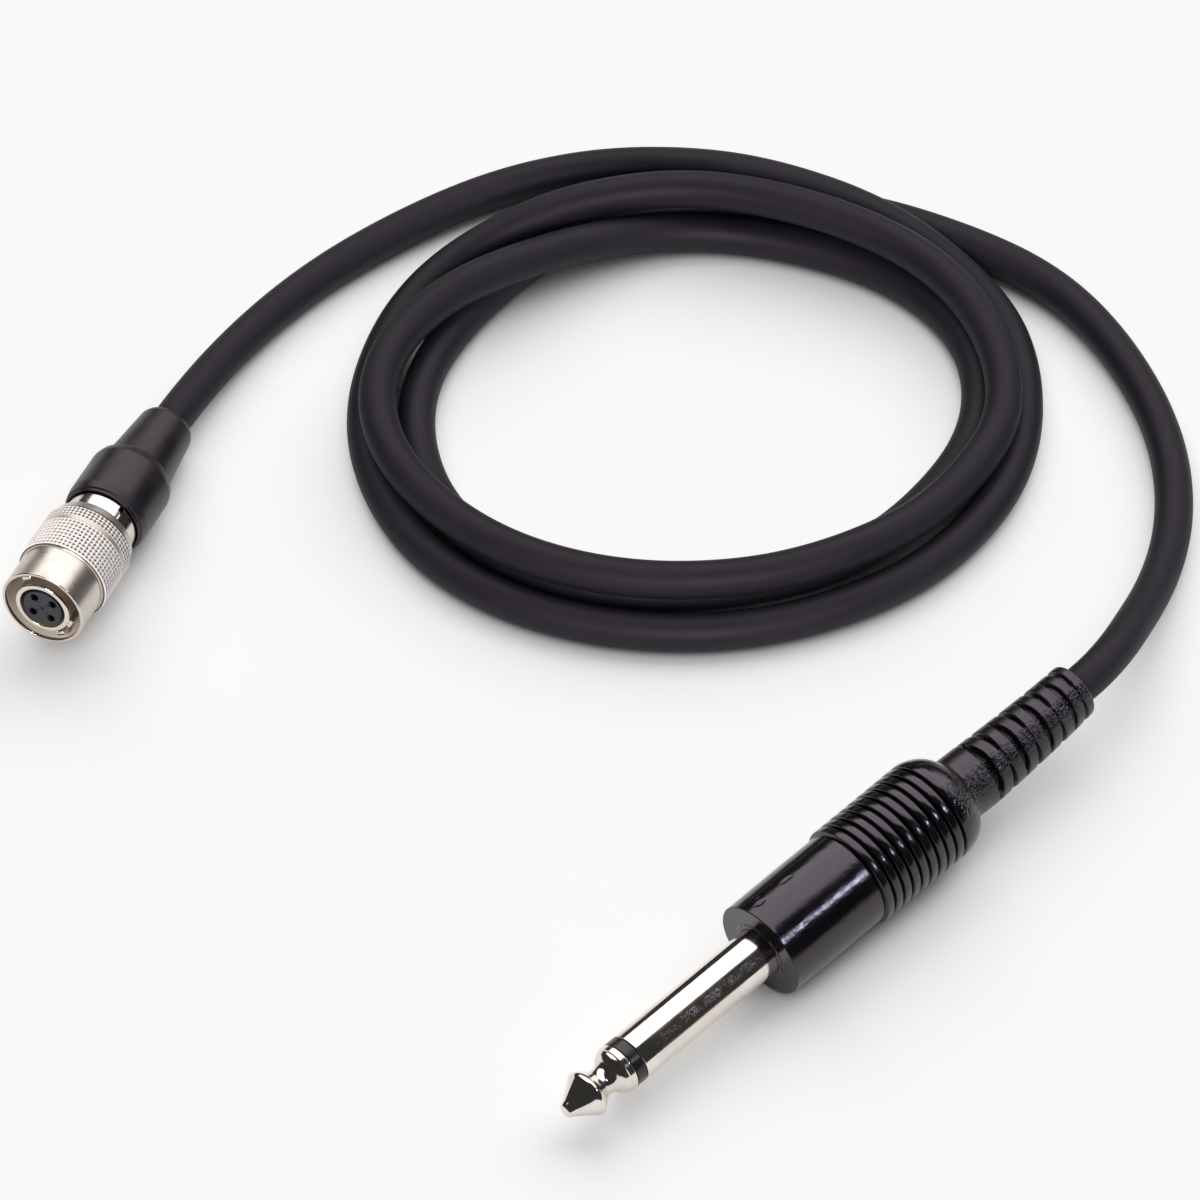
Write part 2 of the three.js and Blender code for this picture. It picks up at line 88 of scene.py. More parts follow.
class Graph:
    """A material's node tree, with short calls for the nodes used here."""

    def __init__(self, name):
        self.material = bpy.data.materials.new(name)
        self.material.use_nodes = True
        self.tree = self.material.node_tree
        self.shader = self.tree.nodes["Principled BSDF"]

    def new(self, kind, **values):
        node = self.tree.nodes.new(kind)
        for key, value in values.items():
            setattr(node, key, value)
        return node

    def link(self, a, b):
        self.tree.links.new(a, b)

    def put(self, socket, value):
        if isinstance(value, bpy.types.NodeSocket):
            self.link(value, socket)
        else:
            socket.default_value = value

    def place(self):
        """The object's own coordinates, in metres."""
        return self.new("ShaderNodeTexCoord").outputs["Object"]

    def axis(self):
        """Coordinates along and across the connector's axis, in millimetres."""
        return self.new("ShaderNodeAttribute", attribute_name="axis_mm").outputs["Vector"]

    def scaled(self, vector, scale):
        node = self.new("ShaderNodeMapping")
        self.link(vector, node.inputs["Vector"])
        node.inputs["Scale"].default_value = scale
        return node.outputs["Vector"]

    def around(self, vector, degrees, inner, outer):
        """1 near an angle round the connector's axis, 0 away from it."""
        parts = self.new("ShaderNodeSeparateXYZ")
        self.link(vector, parts.inputs[0])
        y, z = parts.outputs["Y"], parts.outputs["Z"]
        a = math.radians(degrees)
        along = self.math("ADD", self.math("MULTIPLY", y, math.cos(a)), self.math("MULTIPLY", z, math.sin(a)))
        cosine = self.math("DIVIDE", along, self.radius(vector))
        return self.range(cosine, math.cos(math.radians(outer)), math.cos(math.radians(inner)), 0.0, 1.0, True)

    def radius(self, vector):
        parts = self.new("ShaderNodeSeparateXYZ")
        self.link(vector, parts.inputs[0])
        y, z = parts.outputs["Y"], parts.outputs["Z"]
        return self.math("SQRT", self.math("ADD", self.math("MULTIPLY", y, y), self.math("MULTIPLY", z, z)))

    def station(self, vector):
        parts = self.new("ShaderNodeSeparateXYZ")
        self.link(vector, parts.inputs[0])
        return parts.outputs["X"]

    def noise(self, vector, scale, detail=3.0, rough=0.55, distortion=0.0):
        node = self.new("ShaderNodeTexNoise")
        self.link(vector, node.inputs["Vector"])
        node.inputs["Scale"].default_value = scale
        node.inputs["Detail"].default_value = detail
        node.inputs["Roughness"].default_value = rough
        node.inputs["Distortion"].default_value = distortion
        return node.outputs["Fac"]

    def cells(self, vector, scale, feature="F1"):
        node = self.new("ShaderNodeTexVoronoi", feature=feature)
        self.link(vector, node.inputs["Vector"])
        node.inputs["Scale"].default_value = scale
        return node.outputs["Distance"]

    def range(self, value, a, b, low, high, smooth=False):
        node = self.new("ShaderNodeMapRange")
        if smooth:
            node.interpolation_type = "SMOOTHSTEP"
        self.link(value, node.inputs["Value"])
        for name, v in (("From Min", a), ("From Max", b), ("To Min", low), ("To Max", high)):
            node.inputs[name].default_value = v
        return node.outputs["Result"]

    def math(self, op, a, b=0.0):
        node = self.new("ShaderNodeMath", operation=op)
        self.put(node.inputs[0], a)
        self.put(node.inputs[1], b)
        return node.outputs[0]

    def mix(self, factor, a, b):
        node = self.new("ShaderNodeMix", data_type="RGBA")
        self.put(node.inputs["Factor"], factor)
        for socket, colour in ((node.inputs[6], a), (node.inputs[7], b)):
            if isinstance(colour, bpy.types.NodeSocket):
                self.link(colour, socket)
            else:
                socket.default_value = (*colour, 1.0)
        return node.outputs[2]

    def bump(self, height, distance, strength=1.0, normal=None):
        node = self.new("ShaderNodeBump")
        node.inputs["Distance"].default_value = distance
        node.inputs["Strength"].default_value = strength
        self.link(height, node.inputs["Height"])
        if normal is not None:
            self.link(normal, node.inputs["Normal"])
        return node.outputs["Normal"]

    def finish(self, colour=None, roughness=None, normal=None, **constants):
        if colour is not None:
            self.put(self.shader.inputs["Base Color"], colour)
        if roughness is not None:
            self.put(self.shader.inputs["Roughness"], roughness)
        if normal is not None:
            self.link(normal, self.shader.inputs["Normal"])
        for name, value in constants.items():
            self.put(self.shader.inputs[name.replace("_", " ")], value)
        return self.material


def cord_material():
    g = Graph("cord_jacket")
    p = g.place()
    grain = g.noise(p, 5200.0, 2.0, 0.6)
    patch = g.noise(p, 70.0, 3.0, 0.5)
    fleck = g.range(g.cells(p, 1500.0), 0.02, 0.11, 1.0, 0.0, True)
    fleck = g.math("MULTIPLY", fleck, g.range(g.noise(p, 900.0, 1.0), 0.60, 0.68, 0.0, 1.0))
    base = g.mix(g.range(patch, 0.3, 0.7, 0.0, 1.0), (0.0100, 0.0085, 0.0120), (0.0150, 0.0130, 0.0180))
    base = g.mix(g.range(grain, 0.45, 0.75, 0.0, 0.35), base, (0.024, 0.021, 0.028))
    base = g.mix(g.math("MULTIPLY", fleck, 0.55), base, (0.10, 0.092, 0.105))
    rough = g.math("ADD", g.range(patch, 0.3, 0.7, 0.50, 0.62), g.range(grain, 0.3, 0.7, -0.04, 0.05))
    drag = g.noise(g.scaled(p, (1.0, 1.0, 1.0)), 1100.0, 4.0, 0.6)
    n = g.bump(drag, 0.00008, 0.22)
    n = g.bump(grain, 0.00003, 0.35, n)
    return g.finish(base, rough, n, Specular_IOR_Level=0.24, Specular_Tint=(1.0, 0.90, 1.0, 1.0))


def grip_material():
    g = Graph("grip_pvc")
    p, a = g.place(), g.axis()
    patch = g.noise(p, 240.0, 4.0, 0.6)
    fine = g.noise(p, 2600.0, 3.0, 0.6)
    scratch = g.noise(g.scaled(a, (0.9, 9.0, 9.0)), 1.0, 3.0, 0.65)
    base = g.mix(g.range(patch, 0.35, 0.7, 0.0, 1.0), (0.0030, 0.0027, 0.0036), (0.0062, 0.0054, 0.0070))
    # the relief behind the shoulder is duller, and scarred along the line of the gate
    s = g.station(a)
    behind = g.range(s, 61.5, 67.5, 0.0, 1.0, True)
    scar = g.math("MULTIPLY", g.range(s, 61.0, 63.0, 0.0, 1.0, True), g.around(a, 126.0, 8.0, 27.0))
    rough = g.math("ADD", g.range(patch, 0.3, 0.7, 0.11, 0.17), g.range(scratch, 0.4, 0.75, -0.02, 0.09))
    rough = g.math("ADD", rough, g.math("MULTIPLY", behind, 0.17))
    rough = g.math("SUBTRACT", rough, g.math("MULTIPLY", scar, 0.18))
    peel = g.noise(p, 900.0, 2.0, 0.5)
    torn = g.math("MULTIPLY", g.noise(g.scaled(a, (2.0, 3.2, 3.2)), 1.0, 2.0, 0.5, 0.6), scar)
    n = g.bump(peel, 0.00006, 0.08)
    n = g.bump(scratch, 0.00004, 0.16, n)
    n = g.bump(fine, 0.00004, 0.34, n)
    n = g.bump(torn, 0.00020, 1.0, n)
    return g.finish(base, rough, n, Specular_IOR_Level=0.66, Specular_Tint=(0.97, 0.86, 1.0, 1.0))


def mirror_material():
    g = Graph("nickel_mirror")
    p, a = g.place(), g.axis()
    smudge = g.noise(p, 160.0, 5.0, 0.62, 0.4)
    line = g.noise(g.scaled(a, (0.35, 16.0, 16.0)), 1.0, 2.0, 0.6)
    ring = g.noise(g.scaled(a, (14.0, 0.3, 0.3)), 1.0, 2.0, 0.6)
    fine = g.noise(p, 3800.0, 2.0, 0.55)
    base = g.mix(g.range(smudge, 0.35, 0.75, 0.0, 1.0), (0.83, 0.775, 0.725), (0.70, 0.645, 0.59))
    rough = g.math("ADD", g.range(smudge, 0.3, 0.8, 0.055, 0.17), g.range(line, 0.4, 0.8, 0.0, 0.07))
    # bluish-white lint along the line where the flash would glint, a painted flash glint on dust, and a few dust
    # specks anywhere
    s = g.station(a)
    side = g.math("MULTIPLY", g.around(a, 127.0, 3.0, 13.0), g.range(s, 11.5, 14.0, 0.0, 1.0, True))
    thick = g.range(g.noise(g.scaled(a, (0.42, 0.42, 0.42)), 1.0, 2.0, 0.6), 0.40, 0.62, 0.0, 1.0)
    flash_glint_lint = g.range(g.noise(g.scaled(a, (5.5, 8.5, 8.5)), 1.0, 3.0, 0.7, 0.8), 0.52, 0.60, 0.0, 1.0)
    flash_glint_lint = g.math("MULTIPLY", g.math("MULTIPLY", flash_glint_lint, thick), side)
    specks = g.range(g.cells(p, 800.0), 0.02, 0.075, 1.0, 0.0, True)
    specks = g.math("MULTIPLY", specks, g.range(g.noise(p, 420.0, 1.0), 0.64, 0.70, 0.0, 0.35))
    dust = g.math("MAXIMUM", g.math("MULTIPLY", flash_glint_lint, 0.85), specks)
    # the lint and the specks take the flash's bluish white; on the lint this is a painted flash glint
    base = g.mix(dust, base, (0.74, 0.78, 1.0))
    g.link(g.math("SUBTRACT", 1.0, dust), g.shader.inputs["Metallic"])
    rough = g.math("ADD", rough, g.math("MULTIPLY", dust, 0.5))
    n = g.bump(ring, 0.00002, 0.05)
    n = g.bump(line, 0.00002, 0.05, n)
    n = g.bump(fine, 0.00001, 0.06, n)
    return g.finish(base, rough, n)


def satin_material(name="nickel_satin", light=(0.66, 0.605, 0.555), dark=(0.51, 0.46, 0.42), low=0.25, high=0.37, metallic=1.0):
    g = Graph(name)
    p, a = g.place(), g.axis()
    patch = g.noise(p, 330.0, 4.0, 0.6)
    turned = g.noise(g.scaled(a, (9.0, 0.5, 0.5)), 1.0, 3.0, 0.6)
    fine = g.noise(p, 5200.0, 2.0, 0.6)
    base = g.mix(g.range(patch, 0.3, 0.75, 0.0, 1.0), light, dark)
    base = g.mix(g.range(fine, 0.55, 0.8, 0.0, 0.3), base, tuple(v * 0.55 for v in dark))
    # the knurl's crests are painted lighter, as rubbed wear and a painted highlight, and its pits are painted near
    # black: painted shade in the recesses
    r = g.radius(a)
    base = g.mix(g.range(r, 5.87, 5.93, 0.0, 0.9), base, (0.84, 0.79, 0.785))
    pit = g.math("MULTIPLY", g.range(r, 5.62, 5.68, 0.0, 1.0), g.range(r, 5.79, 5.88, 1.0, 0.0, True))
    base = g.mix(pit, base, (0.055, 0.043, 0.036))
    rough = g.math("ADD", g.range(patch, 0.3, 0.7, low, high), g.range(turned, 0.35, 0.7, -0.03, 0.06))
    n = g.bump(turned, 0.00002, 0.10)
    n = g.bump(fine, 0.00002, 0.16, n)
    g.link(g.range(r, 5.62, 5.72, metallic, metallic * 0.45), g.shader.inputs["Metallic"])
    return g.finish(base, rough, n)


def boot_material():
    g = Graph("boot_rubber")
    p = g.place()
    grain = g.noise(p, 3000.0, 3.0, 0.6)
    patch = g.noise(p, 200.0, 3.0, 0.55)
    dust = g.range(g.cells(p, 620.0), 0.015, 0.085, 1.0, 0.0, True)
    dust = g.math("MULTIPLY", dust, g.range(g.noise(p, 300.0, 1.0), 0.56, 0.66, 0.0, 1.0))
    base = g.mix(g.range(patch, 0.3, 0.7, 0.0, 1.0), (0.0070, 0.0058, 0.0074), (0.0120, 0.0100, 0.0125))
    base = g.mix(g.math("MULTIPLY", dust, 0.7), base, (0.22, 0.22, 0.25))
    rough = g.math("ADD", g.range(patch, 0.3, 0.7, 0.30, 0.42), g.range(grain, 0.3, 0.7, -0.04, 0.06))
    n = g.bump(grain, 0.00004, 0.22)
    n = g.bump(patch, 0.0002, 0.06, n)
    return g.finish(base, rough, n, Specular_IOR_Level=0.46, Specular_Tint=(1.0, 0.88, 1.0, 1.0))


def insert_material():
    g = Graph("insert_plastic")
    p = g.place()
    grain = g.noise(p, 5200.0, 3.0, 0.6)
    patch = g.noise(p, 500.0, 2.0, 0.5)
    base = g.mix(g.range(patch, 0.3, 0.7, 0.0, 1.0), (0.050, 0.049, 0.072), (0.074, 0.072, 0.100))
    base = g.mix(g.range(grain, 0.5, 0.8, 0.0, 0.5), base, (0.11, 0.105, 0.135))
    n = g.bump(grain, 0.00003, 0.35)
    return g.finish(base, g.range(grain, 0.3, 0.7, 0.42, 0.60), n, Specular_IOR_Level=0.5)


def ring_material():
    g = Graph("ring_plastic")
    p, a = g.place(), g.axis()
    patch = g.noise(p, 700.0, 3.0, 0.6)
    turned = g.noise(g.scaled(a, (11.0, 0.4, 0.4)), 1.0, 2.0, 0.6)
    base = g.mix(g.range(patch, 0.3, 0.7, 0.0, 1.0), (0.012, 0.009, 0.008), (0.024, 0.018, 0.015))
    n = g.bump(turned, 0.00002, 0.15)
    return g.finish(base, g.range(patch, 0.3, 0.7, 0.20, 0.34), n, Specular_IOR_Level=0.5)


def plain_material(name, a_colour, b_colour, low, high, metallic=0.0, scale=900.0, depth=0.00003):
    g = Graph(name)
    p = g.place()
    patch = g.noise(p, scale, 4.0, 0.6)
    fine = g.noise(p, scale * 6.0, 2.0, 0.6)
    base = g.mix(g.range(patch, 0.3, 0.7, 0.0, 1.0), a_colour, b_colour)
    rough = g.range(patch, 0.3, 0.7, low, high)
    n = g.bump(fine, depth, 0.25)
    n = g.bump(patch, depth * 2.0, 0.15, n)
    return g.finish(base, rough, n, Metallic=metallic)


CORD_JACKET = cord_material()
GRIP_PVC = grip_material()
NICKEL_MIRROR = mirror_material()
NICKEL_SATIN = satin_material()
# a lighter, browner copy of the nickel for the mouth's inner wall and the lock band: painted light
NICKEL_PAINTED_LIT = satin_material("nickel_painted_lit", (0.84, 0.76, 0.67), (0.66, 0.57, 0.48), 0.26, 0.42, 0.3)
NICKEL_SHADOW = satin_material("nickel_shadow", (0.36, 0.27, 0.21), (0.24, 0.175, 0.135), 0.30, 0.45, 0.6)
# a near-black copy of the nickel for the groove inside the rim: painted shade
NICKEL_PAINTED_GROOVE_SHADE = satin_material("nickel_painted_groove_shade", (0.070, 0.052, 0.042), (0.045, 0.033, 0.027), 0.40, 0.55, 0.5)
NICKEL_POLISH = satin_material("nickel_polish", (0.76, 0.71, 0.66), (0.62, 0.57, 0.52), 0.10, 0.20)
BOOT_RUBBER = boot_material()
INSERT_PLASTIC = insert_material()
RING_PLASTIC = ring_material()
GOLD = plain_material("gold", (0.80, 0.56, 0.22), (0.62, 0.42, 0.16), 0.22, 0.36, 1.0)
SPRING_STEEL = plain_material("spring_steel", (0.55, 0.55, 0.56), (0.42, 0.42, 0.44), 0.22, 0.34, 1.0)
TINNED = plain_material("tinned_brass", (0.66, 0.64, 0.60), (0.52, 0.50, 0.46), 0.30, 0.46, 1.0)
SOLDER = plain_material("solder", (0.58, 0.58, 0.58), (0.46, 0.46, 0.47), 0.22, 0.42, 1.0, 1600.0)
MOULD_PLASTIC = plain_material("mould_plastic", (0.68, 0.62, 0.50), (0.58, 0.53, 0.43), 0.50, 0.66)
WIRE_RED = plain_material("wire_red", (0.34, 0.030, 0.022), (0.24, 0.020, 0.016), 0.38, 0.52)
COPPER = plain_material("copper", (0.68, 0.36, 0.20), (0.50, 0.25, 0.13), 0.28, 0.44, 1.0, 2400.0)

BY_SLOT = {
    "cord_jacket": CORD_JACKET,
    "grip_pvc": GRIP_PVC,
    "nickel_mirror": NICKEL_MIRROR,
    "nickel_satin": NICKEL_SATIN,
    "boot_rubber": BOOT_RUBBER,
    "insert_plastic": INSERT_PLASTIC,
    "ring_plastic": RING_PLASTIC,
    "gold": GOLD,
    "spring_steel": SPRING_STEEL,
    "tinned_brass": TINNED,
    "solder": SOLDER,
    "mould_plastic": MOULD_PLASTIC,
    "wire_red": WIRE_RED,
    "copper": COPPER,
}

for sub in frame["record"]["subparts"]:
    node = nodes.get(sub["node"])
    if node is not None:
        node.data.materials.clear()
        node.data.materials.append(BY_SLOT[sub["material_slot"]])


# ---- meshes -------------------------------------------------------------
def make_object(name, vertices, faces, materials, local=None, face_material=None):
    """A smooth mesh object from vertices in millimetres."""
    mesh = bpy.data.meshes.new(name)
    mesh.from_pydata((np.asarray(vertices) * MM).tolist(), [], faces)
    for material in materials:
        mesh.materials.append(material)
    if face_material is not None:
        mesh.polygons.foreach_set("material_index", np.asarray(face_material, dtype=np.int32))
    mesh.polygons.foreach_set("use_smooth", [True] * len(mesh.polygons))
    attribute = mesh.attributes.new("axis_mm", "FLOAT_VECTOR", "POINT")
    values = np.asarray(vertices if local is None else local, dtype=np.float32)
    attribute.data.foreach_set("vector", values.ravel())
    mesh.validate()
    mesh.update()
    obj = bpy.data.objects.new(name, mesh)
    bpy.context.scene.collection.objects.link(obj)
    return obj


def grid_faces(n, m, wrap_rows=False):
    """Quads of a grid of n rows and m columns, closed round its columns."""
    faces = []
    for i in range(n if wrap_rows else n - 1):
        i2 = (i + 1) % n
        for j in range(m):
            j2 = (j + 1) % m
            faces.append((i * m + j, i * m + j2, i2 * m + j2, i2 * m + j))
    return faces


def fillet(corners, steps=5):
    """A polyline of (station, radius) points from (station, radius, fillet radius) corners, with a
    point just outside each end of each fillet, so that the flats between stay flat when shaded."""
    out = []
    n = len(corners)
    for i, (s, r, f) in enumerate(corners):
        p = np.array([s, r], dtype=float)
        if i == 0 or i == n - 1:
            out.append(tuple(p))
            continue
        a = np.array(corners[i - 1][:2], dtype=float) - p
        b = np.array(corners[i + 1][:2], dtype=float) - p
        la, lb = np.linalg.norm(a), np.linalg.norm(b)
        a, b = a / la, b / lb
        if f <= 0:
            out += [tuple(p + a * min(0.02, 0.2 * la)), tuple(p), tuple(p + b * min(0.02, 0.2 * lb))]
            continue
        half = 0.5 * math.acos(max(-1.0, min(1.0, float(a @ b))))
        if half > 1.5:
            out.append(tuple(p))
            continue
        reach = min(f / math.tan(half), 0.45 * la, 0.45 * lb)
        radius = reach * math.tan(half)
        middle = (a + b) / np.linalg.norm(a + b)
        centre = p + middle * radius / math.sin(half)
        start, stop = p + a * reach, p + b * reach
        extra = min(0.04, 0.08 * la, 0.08 * lb)
        out.append(tuple(start + a * extra))
        va, vb = start - centre, stop - centre
        angle = math.acos(max(-1.0, min(1.0, float(va @ vb) / (radius * radius))))
        for k in range(steps + 1):
            t = k / steps
            w = (math.sin((1 - t) * angle) * va + math.sin(t * angle) * vb) / math.sin(angle)
            out.append(tuple(centre + w))
        out.append(tuple(stop + b * extra))
    return out


def refine(points, step):
    """The same polyline with no stretch longer than step."""
    out = [points[0]]
    for p, q in zip(points, points[1:]):
        k = max(1, int(math.ceil(math.dist(p, q) / step)))
        for i in range(1, k + 1):
            out.append((p[0] + (q[0] - p[0]) * i / k, p[1] + (q[1] - p[1]) * i / k))
    return out


def spline_profile(points, steps=8):
    """A smooth curve through (station, radius) points (monotone in each coordinate's trend)."""
    p = np.array(points, dtype=float)
    t = np.concatenate([[0.0], np.cumsum(np.linalg.norm(np.diff(p, axis=0), axis=1))])
    h = np.diff(t)
    slope = np.diff(p, axis=0) / h[:, None]
    m = np.zeros_like(p)
    m[0], m[-1] = slope[0], slope[-1]
    for i in range(1, len(p) - 1):
        for c in range(2):
            a, b = slope[i - 1, c], slope[i, c]
            if a * b > 0:
                w1, w2 = 2 * h[i] + h[i - 1], h[i] + 2 * h[i - 1]
                m[i, c] = (w1 + w2) / (w1 / a + w2 / b)
    out = [tuple(p[0])]
    for i in range(len(p) - 1):
        for k in range(1, steps + 1):
            u = k / steps
            q = (
                (2 * u**3 - 3 * u**2 + 1) * p[i]
                + (u**3 - 2 * u**2 + u) * h[i] * m[i]
                + (-2 * u**3 + 3 * u**2) * p[i + 1]
                + (u**3 - u**2) * h[i] * m[i + 1]
            )
            out.append(tuple(q))
    return out


def round_piece(name, f, profile, materials, columns=160, shape=None, bend=None, inside=None, closed=False):
    """A piece turned about a connector's axis. profile is a list of (station, radius).
    shape(s, angle, r) gives the radius where the piece isn't round, bend(s) an offset (y, z) of its
    axis, and inside(s, r) the material index of a row of faces."""
    s = np.array([p[0] for p in profile])[:, None]
    r = np.array([p[1] for p in profile])[:, None]
    angle = (np.arange(columns) * (2 * math.pi / columns) - math.pi / 2)[None, :]
    radius = np.repeat(r, columns, axis=1)
    if shape is not None:
        radius = shape(s, angle, radius)
    y = radius * np.cos(angle)
    z = radius * np.sin(angle)
    if bend is not None:
        by, bz = bend(s)
        y = y + by
        z = z + bz
    s = np.repeat(s, columns, axis=1)
    place = f[0] + s[..., None] * f[1] + y[..., None] * f[2] + z[..., None] * f[3]
    vertices = place.reshape(-1, 3)
    local = np.stack([s, y, z], axis=-1).reshape(-1, 3)
    rows = len(profile)
    faces = grid_faces(rows, columns, closed)
    if not closed:
        # the ends that lie on the axis become one point each
        first = list(range(columns))
        last = [(rows - 1) * columns + j for j in range(columns)]
        if profile[0][1] > 1e-6:
            faces.append(tuple(first))
        if profile[-1][1] > 1e-6:
            faces.append(tuple(reversed(last)))
    face_material = None
    if inside is not None:
        face_material = []
        for i in range(rows if closed else rows - 1):
            a, b = profile[i], profile[(i + 1) % rows]
            face_material += [inside(0.5 * (a[0] + b[0]), 0.5 * (a[1] + b[1]))] * columns
        face_material += [0] * (len(faces) - len(face_material))
    obj = make_object(name, vertices, faces, materials, local, face_material)
    if not closed and (profile[0][1] <= 1e-6 or profile[-1][1] <= 1e-6):
        import bmesh

        bm = bmesh.new()
        bm.from_mesh(obj.data)
        bmesh.ops.remove_doubles(bm, verts=bm.verts, dist=1e-8)
        bm.to_mesh(obj.data)
        bm.free()
    outward(obj)
    return obj


def outward(obj):
    import bmesh

    bm = bmesh.new()
    bm.from_mesh(obj.data)
    bmesh.ops.recalc_face_normals(bm, faces=bm.faces)
    bm.to_mesh(obj.data)
    bm.free()
    obj.data.update()


def sector(name, f, outline, a0, a1, steps, materials):
    """A piece with the section outline [(station, radius)], swept from angle a0 to a1 (degrees)."""
    vertices, local, faces = [], [], []
    m = len(outline)
    for k in range(steps + 1):
        a = math.radians(a0 + (a1 - a0) * k / steps)
        for s, r in outline:
            y, z = r * math.cos(a), r * math.sin(a)
            vertices.append(at(f, s, y, z))
            local.append((s, y, z))
    for k in range(steps):
        for j in range(m):
            j2 = (j + 1) % m
            faces.append((k * m + j, k * m + j2, (k + 1) * m + j2, (k + 1) * m + j))
    faces.append(tuple(range(m)))
    faces.append(tuple(steps * m + j for j in reversed(range(m))))
    obj = make_object(name, np.array(vertices), faces, materials, np.array(local))
    outward(obj)
    return obj


def bevel(obj, width, segments=2):
    modifier = obj.modifiers.new("edge", "BEVEL")
    modifier.width = width
    modifier.segments = segments
    modifier.limit_method = "ANGLE"
    modifier.angle_limit = math.radians(35)
    modifier.harden_normals = True


def piece(obj, body, slot, *replaced):
    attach(obj, body)
    if replaced:
        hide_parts(*replaced)
    return obj


